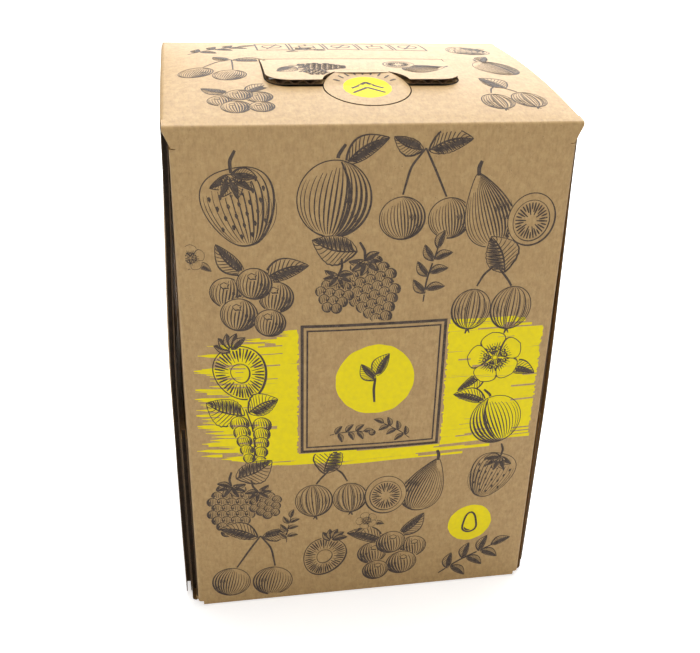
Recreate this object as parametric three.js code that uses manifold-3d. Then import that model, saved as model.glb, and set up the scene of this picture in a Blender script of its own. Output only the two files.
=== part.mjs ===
// Bag in box carton: a folded board box with a lift-up tap flap, the filled bag inside it and its tap.
// Millimetres, +Z up. The origin is on the floor under the middle of the box, and the front faces -Y.

import * as THREE from 'three';
import Module from 'manifold-3d';
import { mergeVertices } from 'three/addons/utils/BufferGeometryUtils.js';

const wasm = await Module();
wasm.setup();

// The board and the box
const BOARD = 2.6;
const FLUTE_PITCH = 6.5;
const LINER = 0.4;
const DEPTH = 147;
const HEIGHT = 250;
const WALL_HALF_WIDTH = 82.4;
const EAR_HALF_WIDTH = 87.4;
const EAR_FOOT_HALF_WIDTH = 84.2;
const EAR_HEIGHT = 9;
const TOP_HALF_WIDTH = 86;
const BOTTOM_HALF_WIDTH = 86;
const FOLD_OUTSIDE = 1.6;
const FOLD_INSIDE = 0.4;
const FOLD_STEPS = 3;
const SEAM_LAP = 0.5;
const SEAM_DROP = 0.05;
const SLIT = 0.3;
const EAR_STEP = 0.4;
const FRONT = -DEPTH / 2;
const BACK = DEPTH / 2;

// How far the full bag pushes the panels out
const TOP_DOME = 7.4;
const DOME_AT_SIDE_FOLD = 0.4;
const WALL_BULGE = 5;
const SIDE_BULGE = 2;

// Side flaps: two dust flaps inside, the bottom flap over them, and the tall outer flap over all
const DUST_FLAP_OUTSIDE = 85;
const DUST_FLAP_LENGTH = 62;
const BOTTOM_FLAP_OUTSIDE = 87.9;
const BOTTOM_FLAP_HEIGHT = 100;
const BOTTOM_FLAP_SET_BACK = 5;
const OUTER_FLAP_TOP_OUTSIDE = 87.9;
const OUTER_FLAP_LOW_OUTSIDE = 90.8;
const OUTER_FLAP_SET_BACK_TOP = 7;
const OUTER_FLAP_SET_BACK_LOW = 11;
const OUTER_FLAP_FLOOR_GAP = 1;
const FLAP_SLACK = 59;
const GLUE_TAB_HEIGHT = 38;

// Tap flap in the top panel
const FLAP_HALF_WIDTH = 43;
const FLAP_FREE_EDGE = FRONT + 37.5;
const FLAP_HINGE = FRONT + 78.5;
const FLAP_CORNER = 10;
const FLAP_LIFT = 2.8;
const FLAP_CUT = 0.5;
const DISC_RADIUS = 18.8;
const DISC_CENTRE = FRONT + 35.2;
const DISC_LIFT = 0.2;
const DISC_BRIDGE_HALF_WIDTH = 12;
const CELL_DEPTH = 7;
const CUT_REACH = 20;

// Bag, with the well that the tap is pushed into
const BAG_HALF_WIDTH = 81.6;
const BAG_HALF_DEPTH = 67;
const BAG_BOTTOM = 3;
const BAG_TOP_GAP = 1;
const BAG_CORNER = 20;
const BAG_SEGMENTS = 8;
const WELL_HALF_WIDTH = 34;
const WELL_HALF_DEPTH = 19;
const WELL_CORNER = 12;
const WELL_FLOOR = 211.6;

// Spout gland and tap; their heights are above the gland's foot
const TAP_Y = -16;
const GLAND_FOOT = 212;
const GLAND_BORE = 11.2;
const GLAND_FLANGE = 17;
const GLAND_HEIGHT = 9.2;
const BARREL_RADIUS = 10.9;
const SEAT_HEIGHT = 11;
const CAP_HEIGHT = 27.6;
const CAP_RADIUS = 8;
const OUTLET_HEIGHT = 18;
const OUTLET_LENGTH = 17;
const OUTLET_RADIUS = 4.8;
const OUTLET_BORE = 2.7;
const PIVOT_X = -12;
const PIVOT_HEIGHT = 35;
const PIVOT_PIN_RADIUS = 1.5;
const PIVOT_HOLE_RADIUS = 1.9;
const POST_INNER = 5;
const POST_OUTER = 7.5;
const LEVER_THICKNESS = 2.2;
const LEVER_REACH = 20;
const POST_HALF_LENGTH = 2.8;
const COLLAR_RADIUS = 15;
const COLLAR_LOW = GLAND_HEIGHT + 0.4;
const COLLAR_TOP = GLAND_HEIGHT + 2;
const CHAMBER_RADIUS = CAP_RADIUS + 1.4;
const BORE_RADIUS = 8.8;
const SEAT_BORE = 5.5;
const SEAT_THICKNESS = 2;
const CAP_THICKNESS = 2;
const STEM_RADIUS = 2;
const STEM_PLAY = 0.5;
const STEM_GAP = 0.4;
const DISC_FOOT = 7;
const DISC_TOP = 8.8;
const VALVE_DISC_RADIUS = 6.8;
const SEAL_RADIUS = 7.4;
const SEAL_FOOT = 9.1;
const SEAL_TOP = 10.6;
const ROUND_STEPS = 32;

const MATERIALS = {
  kraft: new THREE.MeshStandardMaterial({ color: 0xb18f62, roughness: 0.9, metalness: 0 }),
  film: new THREE.MeshStandardMaterial({ color: 0xd8dcdc, roughness: 0.25, metalness: 0.1 }),
  tapPlastic: new THREE.MeshStandardMaterial({ color: 0xe9e8e2, roughness: 0.4, metalness: 0 }),
  leverPlastic: new THREE.MeshStandardMaterial({ color: 0xb3302a, roughness: 0.4, metalness: 0 }),
  seal: new THREE.MeshStandardMaterial({ color: 0x3a3a3a, roughness: 0.8, metalness: 0 }),
};

const clamp = (value, low, high) => Math.min(Math.max(value, low), high);
const hump = (value, length) => 4 * clamp(value / length, 0, 1) * (1 - clamp(value / length, 0, 1));
const mix = (from, to, share) => from + (to - from) * share;

// Closed meshes turned into solids for cutting and joining, and back
function toSolid(geometry) {
  const bare = new THREE.BufferGeometry();
  bare.setAttribute('position', geometry.getAttribute('position').clone());
  bare.setIndex(geometry.getIndex() ? geometry.getIndex().clone() : null);
  const merged = mergeVertices(bare, 1e-4);
  return new wasm.Manifold(new wasm.Mesh({
    numProp: 3,
    vertProperties: new Float32Array(merged.getAttribute('position').array),
    triVerts: new Uint32Array(merged.getIndex().array),
  }));
}

function toGeometry(solid) {
  const mesh = solid.getMesh();
  const geometry = new THREE.BufferGeometry();
  geometry.setAttribute('position', new THREE.BufferAttribute(new Float32Array(mesh.vertProperties), 3));
  geometry.setIndex(new THREE.BufferAttribute(new Uint32Array(mesh.triVerts), 1));
  return geometry;
}

function joined(solids) {
  return solids.reduce((sum, solid) => sum.add(solid));
}

function without(solid, cutters) {
  return solid.subtract(joined(cutters));
}

function meshOf(name, solid, material) {
  const geometry = toGeometry(solid).toNonIndexed();
  geometry.computeVertexNormals();
  const mesh = new THREE.Mesh(geometry, material);
  mesh.name = name;
  return mesh;
}

// A board or film sheet: two grids of points, its outside and its inside, closed along the edges.
// A ring's rows run on from the last to the first.
function sheet(columns, rows, outside, inside, ring = false) {
  const rowPoints = ring ? rows : rows + 1;
  const layerPoints = (columns + 1) * rowPoints;
  const positions = [];
  for (const surface of [outside, inside]) {
    for (let i = 0; i <= columns; i += 1) {
      for (let j = 0; j < rowPoints; j += 1) {
        positions.push(...surface(i, j));
      }
    }
  }
  const at = (layer, i, j) => layer * layerPoints + i * rowPoints + (j % rowPoints);
  const index = [];
  const quad = (a, b, c, d) => index.push(a, b, c, a, c, d);
  for (let i = 0; i < columns; i += 1) {
    for (let j = 0; j < rows; j += 1) {
      quad(at(0, i, j), at(0, i + 1, j), at(0, i + 1, j + 1), at(0, i, j + 1));
      quad(at(1, i, j), at(1, i, j + 1), at(1, i + 1, j + 1), at(1, i + 1, j));
    }
  }
  for (let j = 0; j < rows; j += 1) {
    quad(at(0, 0, j), at(0, 0, j + 1), at(1, 0, j + 1), at(1, 0, j));
    quad(at(0, columns, j), at(1, columns, j), at(1, columns, j + 1), at(0, columns, j + 1));
  }
  if (!ring) {
    for (let i = 0; i < columns; i += 1) {
      quad(at(0, i, 0), at(1, i, 0), at(1, i + 1, 0), at(0, i + 1, 0));
      quad(at(0, i, rows), at(0, i + 1, rows), at(1, i + 1, rows), at(1, i, rows));
    }
  }
  const geometry = new THREE.BufferGeometry();
  geometry.setAttribute('position', new THREE.BufferAttribute(new Float32Array(positions), 3));
  geometry.setIndex(facingOut(positions, index));
  return toSolid(geometry);
}

// The triangles as they are, or turned over where they enclose a negative volume
function facingOut(positions, index) {
  const point = (k) => new THREE.Vector3().fromArray(positions, 3 * k);
  let volume = 0;
  for (let t = 0; t < index.length; t += 3) {
    const [a, b, c] = [point(index[t]), point(index[t + 1]), point(index[t + 2])];
    volume += a.dot(b.cross(c));
  }
  if (volume > 0) {
    return index;
  }
  return index.map((value, k) => (k % 3 === 1 ? index[k + 1] : k % 3 === 2 ? index[k - 1] : value));
}

function box(x0, x1, y0, y1, z0, z1) {
  const geometry = new THREE.BoxGeometry(x1 - x0, y1 - y0, z1 - z0);
  geometry.translate((x0 + x1) / 2, (y0 + y1) / 2, (z0 + z1) / 2);
  return toSolid(geometry);
}

// An upright prism of an outline in the XY plane
function prism(shape, z0, z1, curveSegments = 8) {
  const geometry = new THREE.ExtrudeGeometry(shape, { depth: z1 - z0, bevelEnabled: false, curveSegments });
  geometry.translate(0, 0, z0);
  return toSolid(geometry);
}

function uprightCylinder(radius, x, y, z0, z1, steps = ROUND_STEPS) {
  const geometry = new THREE.CylinderGeometry(radius, radius, z1 - z0, steps);
  geometry.rotateX(Math.PI / 2);
  geometry.translate(x, y, (z0 + z1) / 2);
  return toSolid(geometry);
}

function crossCylinder(radius, x, z, y0, y1, steps = 20) {
  const geometry = new THREE.CylinderGeometry(radius, radius, y1 - y0, steps);
  geometry.translate(x, (y0 + y1) / 2, z);
  return toSolid(geometry);
}

// A turned piece on the tap's axis, from points of radius and height above the gland's foot
function turned(profile) {
  const closed = [...profile, profile[0]];
  const geometry = new THREE.LatheGeometry(closed.map(([r, h]) => new THREE.Vector2(r, h)), ROUND_STEPS);
  geometry.rotateX(Math.PI / 2);
  geometry.translate(0, TAP_Y, GLAND_FOOT);
  return toSolid(geometry);
}

function roundedRectangle(x0, x1, y0, y1, frontCorner, backCorner) {
  const shape = new THREE.Shape();
  shape.moveTo(x0 + frontCorner, y0);
  shape.lineTo(x1 - frontCorner, y0);
  if (frontCorner > 0) {
    shape.quadraticCurveTo(x1, y0, x1, y0 + frontCorner);
  }
  shape.lineTo(x1, y1 - backCorner);
  if (backCorner > 0) {
    shape.quadraticCurveTo(x1, y1, x1 - backCorner, y1);
  }
  shape.lineTo(x0 + backCorner, y1);
  if (backCorner > 0) {
    shape.quadraticCurveTo(x0, y1, x0, y1 - backCorner);
  }
  shape.lineTo(x0, y0 + frontCorner);
  if (frontCorner > 0) {
    shape.quadraticCurveTo(x0, y0, x0 + frontCorner, y0);
  }
  return shape;
}

// How the full bag shapes the panels
function topDome(x, y) {
  const across = 1 - (clamp(Math.abs(x) / OUTER_FLAP_TOP_OUTSIDE, 0, 1)) ** 4;
  return TOP_DOME * hump(y - FRONT, DEPTH) * mix(DOME_AT_SIDE_FOLD, 1, across);
}

function wallBulge(x, z) {
  return WALL_BULGE * hump(z, HEIGHT) * Math.max(0, 1 - (x / WALL_HALF_WIDTH) ** 2);
}

function sideBulge(y, z) {
  return SIDE_BULGE * hump(z, HEIGHT) * Math.max(0, 1 - (y / BACK) ** 2);
}

// Stops along a folded strip, seen edge on: a point on the outside, one on the inside,
// and the outward direction in which a bulge pushes them
function flatStop(point, normal) {
  const inside = point.map((value, axis) => value - BOARD * normal[axis]);
  return { outside: point, inside, normal };
}

// A quarter fold at a corner, from the face with the first normal to the face with the second
function foldStops(corner, first, second) {
  const stops = [];
  for (let k = 0; k <= FOLD_STEPS; k += 1) {
    const angle = (Math.PI / 2) * (k / FOLD_STEPS);
    const turn = first.map((value, axis) => Math.cos(angle) * value + Math.sin(angle) * second[axis]);
    const at = (centre, radius) => corner.map((value, axis) =>
      value - centre * (first[axis] + second[axis]) + radius * turn[axis]);
    stops.push({
      outside: at(FOLD_OUTSIDE, FOLD_OUTSIDE),
      inside: at(BOARD + FOLD_INSIDE, FOLD_INSIDE),
      normal: [0, 0],
    });
  }
  return stops;
}

// The wrap: back, top, front and bottom panels in one strip around the box, in the YZ plane.
// Each stop also has the panel's half width there.
function wrapStops() {
  const stops = [];
  const flat = (y, z, normal, halfWidth) => stops.push({ ...flatStop([y, z], normal), halfWidth });
  const fold = (corner, first, second, halfWidth) =>
    foldStops(corner, first, second).forEach((stop) => stops.push({ ...stop, halfWidth }));
  const [backward, forward, up, down] = [[1, 0], [-1, 0], [0, 1], [0, -1]];
  const earFoot = HEIGHT - EAR_HEIGHT;
  const wallHeights = [30, 60, 90, 125, 160, 190, 220];
  wallHeights.forEach((z) => flat(BACK, z, backward, WALL_HALF_WIDTH));
  flat(BACK, earFoot - EAR_STEP, backward, WALL_HALF_WIDTH);
  flat(BACK, earFoot, backward, EAR_FOOT_HALF_WIDTH);
  fold([BACK, HEIGHT], backward, up, EAR_HALF_WIDTH);
  const flapEnd = BACK - OUTER_FLAP_SET_BACK_TOP;
  flat(flapEnd + SLIT, HEIGHT, up, EAR_HALF_WIDTH);
  for (const share of [1, 0.82, 0.6, 0.36, 0.12, -0.12, -0.36, -0.6, -0.82, -1]) {
    flat(share * (flapEnd - SLIT), HEIGHT, up, TOP_HALF_WIDTH);
  }
  flat(-flapEnd - SLIT, HEIGHT, up, EAR_HALF_WIDTH);
  fold([FRONT, HEIGHT], up, forward, EAR_HALF_WIDTH);
  flat(FRONT, earFoot, forward, EAR_FOOT_HALF_WIDTH);
  flat(FRONT, earFoot - EAR_STEP, forward, WALL_HALF_WIDTH);
  [...wallHeights].reverse().forEach((z) => flat(FRONT, z, forward, WALL_HALF_WIDTH));
  fold([FRONT, 0], forward, down, WALL_HALF_WIDTH);
  const flapFoot = BACK - BOTTOM_FLAP_SET_BACK;
  flat(-flapFoot, 0, down, WALL_HALF_WIDTH);
  flat(-flapFoot + SEAM_LAP, 0, down, BOTTOM_HALF_WIDTH);
  flat(0, 0, down, BOTTOM_HALF_WIDTH);
  flat(flapFoot - SEAM_LAP, 0, down, BOTTOM_HALF_WIDTH);
  flat(flapFoot, 0, down, WALL_HALF_WIDTH);
  fold([BACK, 0], down, backward, WALL_HALF_WIDTH);
  return stops;
}

function wrapPush(x, stop) {
  const [y, z] = stop.outside;
  if (stop.normal[1] === 1) {
    return topDome(x, y);
  }
  return stop.normal[0] !== 0 ? wallBulge(x, z) : 0;
}

function makeWrap() {
  const stops = wrapStops();
  const across = [-1, -0.94, -0.75, -0.5, -0.25, 0, 0.25, 0.5, 0.75, 0.94, 1];
  const point = (i, j, layer) => {
    const stop = stops[j];
    const x = across[i] * stop.halfWidth;
    const out = wrapPush(x, stop);
    return [x, stop[layer][0] + out * stop.normal[0], stop[layer][1] + out * stop.normal[1]];
  };
  return sheet(across.length - 1, stops.length,
    (i, j) => point(i, j, 'outside'), (i, j) => point(i, j, 'inside'), true);
}

// The tall outer side flap, folded down from the top panel, in the XZ plane; side is 1 or -1
function outerFlapOutside(z) {
  const share = clamp((HEIGHT - z) / (HEIGHT - BOTTOM_FLAP_HEIGHT), 0, 1);
  return mix(OUTER_FLAP_TOP_OUTSIDE, OUTER_FLAP_LOW_OUTSIDE, share * share * (3 - 2 * share));
}

function outerFlapEdge(z) {
  return FRONT + mix(OUTER_FLAP_SET_BACK_LOW, OUTER_FLAP_SET_BACK_TOP, clamp(z / HEIGHT, 0, 1));
}

function makeOuterFlap(side) {
  const [out, up] = [[1, 0], [0, 1]];
  const stops = [
    flatStop([TOP_HALF_WIDTH - SEAM_LAP, HEIGHT - SEAM_DROP], up),
    ...foldStops([OUTER_FLAP_TOP_OUTSIDE, HEIGHT], up, out),
  ];
  for (const z of [230, 205, 180, 155, 130, 100, 70, 40, 20, OUTER_FLAP_FLOOR_GAP]) {
    stops.push(flatStop([outerFlapOutside(z), z], out));
  }
  const columns = 8;
  const point = (i, j, layer) => {
    const [x, z] = stops[j][layer];
    const level = stops[j].outside[1];
    const y = outerFlapEdge(level) * (1 - (2 * i) / columns);
    const slack = clamp((level - (HEIGHT - FLAP_SLACK)) / (FLAP_SLACK - EAR_HEIGHT), 0, 1);
    return [side * (x + sideBulge(y, level)), y, z + topDome(x, y) * slack * slack];
  };
  return sheet(columns, stops.length - 1,
    (i, j) => point(i, j, 'outside'), (i, j) => point(i, j, 'inside'));
}

// The side flap folded up from the bottom panel
function makeBottomFlap(side) {
  const [out, down] = [[1, 0], [0, -1]];
  const stops = [
    flatStop([BOTTOM_HALF_WIDTH - SEAM_LAP, 0], down),
    ...foldStops([BOTTOM_FLAP_OUTSIDE, 0], down, out),
    ...[30, 60, BOTTOM_FLAP_HEIGHT].map((z) => flatStop([BOTTOM_FLAP_OUTSIDE, z], out)),
  ];
  const columns = 6;
  const edge = FRONT + BOTTOM_FLAP_SET_BACK;
  const point = (i, j, layer) => {
    const [x, z] = stops[j][layer];
    const y = edge * (1 - (2 * i) / columns);
    return [side * (x + sideBulge(y, z)), y, z];
  };
  return sheet(columns, stops.length - 1,
    (i, j) => point(i, j, 'outside'), (i, j) => point(i, j, 'inside'));
}

// A dust flap, folded in from the front (end -1) or the back (end 1), in the XY plane
function makeDustFlap(side, end) {
  const [out, backward] = [[1, 0], [0, 1]];
  const stops = [
    flatStop([WALL_HALF_WIDTH - SEAM_LAP, BACK], backward),
    ...foldStops([DUST_FLAP_OUTSIDE, BACK], backward, out),
    ...[0.16, 0.35, 0.7, 1].map((share) =>
      flatStop([DUST_FLAP_OUTSIDE, BACK - DUST_FLAP_LENGTH * share], out)),
  ];
  const heights = [BOARD + 0.4, 40, 80, 125, 170, 210, HEIGHT - BOARD - 1];
  const notchedTop = HEIGHT - EAR_HEIGHT - 0.6;
  const point = (i, j, layer) => {
    const [x, y] = stops[j][layer];
    const z = j <= FOLD_STEPS + 1 ? Math.min(heights[i], notchedTop) : heights[i];
    return [side * (x + sideBulge(y, z) * stops[j].normal[0]), end * y, z];
  };
  return sheet(heights.length - 1, stops.length - 1,
    (i, j) => point(i, j, 'outside'), (i, j) => point(i, j, 'inside'));
}

// The tab that closes the wrap: folded up from the bottom panel and glued inside the back panel
function makeGlueTab() {
  const reach = WALL_HALF_WIDTH - 2;
  const columns = 6;
  const heights = [BOARD - SEAM_LAP, GLUE_TAB_HEIGHT / 2, GLUE_TAB_HEIGHT];
  const point = (i, j, depth) => {
    const x = mix(-reach, reach, i / columns);
    return [x, BACK - BOARD + SLIT + wallBulge(x, heights[j]) - depth, heights[j]];
  };
  return sheet(columns, heights.length - 1,
    (i, j) => point(i, j, 0), (i, j) => point(i, j, BOARD + SLIT));
}

// The open ends of the flutes, seen as three-cornered cells in a cut edge
function fluteCell(points, from, to) {
  const shape = new THREE.Shape(points.map(([a, b]) => new THREE.Vector2(a, b)));
  const geometry = new THREE.ExtrudeGeometry(shape, { depth: to - from, bevelEnabled: false });
  geometry.rotateX(Math.PI / 2);
  geometry.translate(0, to, 0);
  return toSolid(geometry);
}

function sideFlapCells(side, end) {
  const cells = [];
  for (let z = 12; z < HEIGHT - 14; z += FLUTE_PITCH) {
    const edge = outerFlapEdge(z);
    const outside = outerFlapOutside(z) + sideBulge(edge, z);
    const points = [
      [side * (outside - LINER), z - 0.36 * FLUTE_PITCH],
      [side * (outside - LINER), z + 0.36 * FLUTE_PITCH],
      [side * (outside - BOARD + LINER), z],
    ];
    const [from, to] = end < 0 ? [edge - 2, edge + CELL_DEPTH] : [-edge - CELL_DEPTH, -edge + 2];
    cells.push(fluteCell(points, from, to));
  }
  return cells;
}

// Outlines of the tap flap: its panel and the thumb disc at the free edge
function flapPanel(grow) {
  const outline = roundedRectangle(-FLAP_HALF_WIDTH - grow, FLAP_HALF_WIDTH + grow,
    FLAP_FREE_EDGE - grow, FLAP_HINGE + grow, FLAP_CORNER, 0);
  return prism(outline, HEIGHT - CUT_REACH, HEIGHT + CUT_REACH, 5);
}

function flapDisc(grow) {
  return uprightCylinder(DISC_RADIUS + grow, 0, DISC_CENTRE, HEIGHT - CUT_REACH, HEIGHT + CUT_REACH, 44);
}

function makeCarton() {
  const sides = [-1, 1];
  const flaps = sides.flatMap((side) => [
    makeOuterFlap(side),
    makeBottomFlap(side),
    makeDustFlap(side, -1),
    makeDustFlap(side, 1),
  ]);
  const board = joined([makeWrap(), ...flaps, makeGlueTab()]);
  const tabFold = box(-100, 100, BACK - BOARD, BACK + 5, -5, OUTER_FLAP_FLOOR_GAP);
  const cells = sides.flatMap((side) => [...sideFlapCells(side, -1), ...sideFlapCells(side, 1)]);
  return without(board, [flapPanel(FLAP_CUT), flapDisc(FLAP_CUT), tabFold, ...cells]);
}

// The flap's panel stands up from the hinge to its free edge; the disc lies back down in the panel
function flapLift(y) {
  return FLAP_LIFT * clamp((FLAP_HINGE - y) / (FLAP_HINGE - FLAP_FREE_EDGE), 0, 1);
}

function discLift(y, x) {
  const off = Math.abs(x);
  const arc = DISC_CENTRE + Math.sqrt(Math.max(0, DISC_RADIUS ** 2 - x ** 2));
  const attached = clamp((DISC_RADIUS - off) / (DISC_RADIUS - DISC_BRIDGE_HALF_WIDTH), 0, 1);
  const share = clamp((y - FLAP_FREE_EDGE) / Math.max(arc - FLAP_FREE_EDGE, 1), 0, 1);
  return mix(DISC_LIFT, flapLift(y), share * attached);
}

function liftedTop(lift) {
  const columns = 14;
  const rows = 14;
  const reach = FLAP_HALF_WIDTH + 3;
  const from = DISC_CENTRE - DISC_RADIUS - 3;
  const to = FLAP_HINGE + 3;
  const point = (i, j, depth) => {
    const x = mix(-reach, reach, i / columns);
    const y = mix(from, to, j / rows);
    return [x, y, HEIGHT + topDome(x, y) + lift(y, x) - depth];
  };
  return sheet(columns, rows, (i, j) => point(i, j, 0), (i, j) => point(i, j, BOARD));
}

function freeEdgeCells() {
  const cells = [];
  const halfPitch = FLUTE_PITCH / 2;
  let up = false;
  for (let x = -FLAP_HALF_WIDTH + FLAP_CORNER; x <= FLAP_HALF_WIDTH - FLAP_CORNER + 0.1; x += halfPitch) {
    const top = HEIGHT + topDome(x, FLAP_FREE_EDGE) + FLAP_LIFT - LINER;
    const low = top - BOARD + 2 * LINER;
    const [base, tip] = up ? [low, top] : [top, low];
    const points = [[x - 0.72 * halfPitch, base], [x + 0.72 * halfPitch, base], [x, tip]];
    if (Math.abs(x) > DISC_RADIUS + halfPitch) {
      cells.push(fluteCell(points, FLAP_FREE_EDGE - 2, FLAP_FREE_EDGE + CELL_DEPTH));
    }
    up = !up;
  }
  return cells;
}

function makeTapFlap() {
  const raised = liftedTop(flapLift);
  const panel = without(raised.intersect(flapPanel(0)), [flapDisc(FLAP_CUT), ...freeEdgeCells()]);
  const disc = liftedTop(discLift).intersect(flapDisc(0));
  const backArc = DISC_CENTRE + DISC_RADIUS;
  const bridge = raised.intersect(box(-DISC_BRIDGE_HALF_WIDTH, DISC_BRIDGE_HALF_WIDTH,
    backArc - 5, backArc + 2, HEIGHT - CUT_REACH, HEIGHT + CUT_REACH));
  return joined([panel, disc, bridge]);
}

// The filled bag: a soft rounded block that leans on every panel, sunk around the tap
function makeBag() {
  const geometry = new THREE.BoxGeometry(2, 2, 2, BAG_SEGMENTS, BAG_SEGMENTS, BAG_SEGMENTS);
  const position = geometry.getAttribute('position');
  const top = HEIGHT - BOARD - BAG_TOP_GAP;
  const half = [BAG_HALF_WIDTH, BAG_HALF_DEPTH, (top - BAG_BOTTOM) / 2];
  const spread = (t) => Math.sign(t) * Math.sqrt(Math.abs(t));
  for (let k = 0; k < position.count; k += 1) {
    const outer = new THREE.Vector3().fromBufferAttribute(position, k).toArray()
      .map((t, axis) => spread(t) * half[axis]);
    const inner = outer.map((value, axis) => clamp(value, BAG_CORNER - half[axis], half[axis] - BAG_CORNER));
    const away = new THREE.Vector3(...outer.map((value, axis) => value - inner[axis]));
    away.setLength(BAG_CORNER);
    const p = inner.map((value, axis) => value + away.getComponent(axis));
    const z = p[2] + half[2];
    const wall = Math.max(0, 1 - (p[0] / BAG_HALF_WIDTH) ** 2);
    const side = Math.max(0, 1 - (p[1] / BAG_HALF_DEPTH) ** 2);
    const rise = clamp(p[2] / half[2], 0, 1) ** 2;
    position.setXYZ(k,
      p[0] + (p[0] / half[0]) * 0.8 * SIDE_BULGE * hump(z, 2 * half[2]) * side,
      p[1] + (p[1] / half[1]) * 1.35 * WALL_BULGE * hump(z, 2 * half[2]) * wall,
      p[2] + half[2] + BAG_BOTTOM + 0.95 * topDome(p[0], p[1]) * rise);
  }
  const well = prism(roundedRectangle(-WELL_HALF_WIDTH, WELL_HALF_WIDTH,
    TAP_Y - WELL_HALF_DEPTH, TAP_Y + WELL_HALF_DEPTH, WELL_CORNER, WELL_CORNER), WELL_FLOOR, HEIGHT + 30);
  return without(toSolid(geometry), [well]);
}

function makeGland() {
  const neck = GLAND_BORE + 2.4;
  return turned([
    [GLAND_BORE, 0],
    [GLAND_FLANGE, 0],
    [GLAND_FLANGE, 1.6],
    [neck, 1.6],
    [neck, GLAND_HEIGHT - 1.2],
    [neck + 1, GLAND_HEIGHT - 1.2],
    [neck + 1, GLAND_HEIGHT],
    [GLAND_BORE, GLAND_HEIGHT],
  ]);
}

// The tap's body: barrel in the gland, collar, chamber with the valve seat, outlet and pivot posts
function makeTapBody() {
  const shell = turned([
    [BORE_RADIUS, 0.6],
    [BARREL_RADIUS, 0.6],
    [BARREL_RADIUS, COLLAR_LOW],
    [COLLAR_RADIUS, COLLAR_LOW],
    [COLLAR_RADIUS, COLLAR_TOP],
    [CHAMBER_RADIUS, COLLAR_TOP],
    [CHAMBER_RADIUS, CAP_HEIGHT - 5],
    [CAP_RADIUS, CAP_HEIGHT - 3],
    [CAP_RADIUS, CAP_HEIGHT],
    [STEM_RADIUS + STEM_PLAY, CAP_HEIGHT],
    [STEM_RADIUS + STEM_PLAY, CAP_HEIGHT - CAP_THICKNESS],
    [6.4, CAP_HEIGHT - CAP_THICKNESS],
    [7.2, SEAT_HEIGHT + SEAT_THICKNESS],
    [SEAT_BORE, SEAT_HEIGHT + SEAT_THICKNESS],
    [SEAT_BORE, SEAT_HEIGHT],
    [BORE_RADIUS, SEAT_HEIGHT],
  ]);
  const outletZ = GLAND_FOOT + OUTLET_HEIGHT;
  const outlet = crossCylinder(OUTLET_RADIUS, 0, outletZ, TAP_Y - OUTLET_LENGTH, TAP_Y - CAP_RADIUS);
  const outletBore = crossCylinder(OUTLET_BORE, 0, outletZ, TAP_Y - OUTLET_LENGTH - 2, TAP_Y - 5);
  const capZ = GLAND_FOOT + CAP_HEIGHT;
  const postTop = GLAND_FOOT + PIVOT_HEIGHT + 3;
  const shelf = box(PIVOT_X - POST_HALF_LENGTH, -4, TAP_Y - POST_OUTER, TAP_Y + POST_OUTER, capZ - 2, capZ);
  const shelfWell = uprightCylinder(6, 0, TAP_Y, capZ - 3, capZ - 2);
  const posts = [-1, 1].map((side) => {
    const faces = [TAP_Y + side * POST_INNER, TAP_Y + side * POST_OUTER].sort((a, b) => a - b);
    return box(PIVOT_X - POST_HALF_LENGTH, PIVOT_X + POST_HALF_LENGTH,
      faces[0], faces[1], capZ - 1, postTop);
  });
  const pinHole = crossCylinder(PIVOT_HOLE_RADIUS, PIVOT_X, GLAND_FOOT + PIVOT_HEIGHT,
    TAP_Y - 10, TAP_Y + 10);
  const stemHole = uprightCylinder(STEM_RADIUS + STEM_PLAY, 0, TAP_Y, capZ - 3, capZ + 1);
  return without(joined([shell, outlet, shelf, ...posts]), [outletBore, pinHole, stemHole, shelfWell]);
}

// The press lever: a finger plate with a cross pin that turns in the posts
function makeLever() {
  const underside = GLAND_FOOT + PIVOT_HEIGHT - 0.9;
  const neckHalf = POST_INNER - 0.5;
  const padHalf = 8;
  const plate = new THREE.Shape();
  plate.moveTo(PIVOT_X - 1.4, TAP_Y - neckHalf);
  plate.lineTo(PIVOT_X + 4, TAP_Y - neckHalf);
  plate.lineTo(PIVOT_X + 8, TAP_Y - padHalf);
  plate.lineTo(LEVER_REACH - padHalf, TAP_Y - padHalf);
  plate.absarc(LEVER_REACH - padHalf, TAP_Y, padHalf, -Math.PI / 2, Math.PI / 2, false);
  plate.lineTo(PIVOT_X + 8, TAP_Y + padHalf);
  plate.lineTo(PIVOT_X + 4, TAP_Y + neckHalf);
  plate.lineTo(PIVOT_X - 1.4, TAP_Y + neckHalf);
  const pin = crossCylinder(PIVOT_PIN_RADIUS, PIVOT_X, GLAND_FOOT + PIVOT_HEIGHT,
    TAP_Y - POST_OUTER + 0.2, TAP_Y + POST_OUTER - 0.2);
  const ribs = [10, 13, 16].map((x) => box(x - 0.5, x + 0.5, TAP_Y - 5, TAP_Y + 5,
    underside + LEVER_THICKNESS - 0.5, underside + LEVER_THICKNESS + 0.7));
  return joined([prism(plate, underside, underside + LEVER_THICKNESS, 10), pin, ...ribs]);
}

function makeStem() {
  const top = PIVOT_HEIGHT - 0.9 - STEM_GAP;
  return turned([
    [0, DISC_FOOT],
    [VALVE_DISC_RADIUS, DISC_FOOT],
    [VALVE_DISC_RADIUS, DISC_TOP],
    [STEM_RADIUS, DISC_TOP],
    [STEM_RADIUS, top - STEM_RADIUS],
    [0.7 * STEM_RADIUS, top - 0.3 * STEM_RADIUS],
    [0, top],
  ]);
}

function makeSeal() {
  return turned([
    [STEM_RADIUS + SLIT, SEAL_FOOT],
    [SEAL_RADIUS, SEAL_FOOT],
    [SEAL_RADIUS, SEAL_TOP],
    [STEM_RADIUS + SLIT, SEAL_TOP],
  ]);
}

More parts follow.
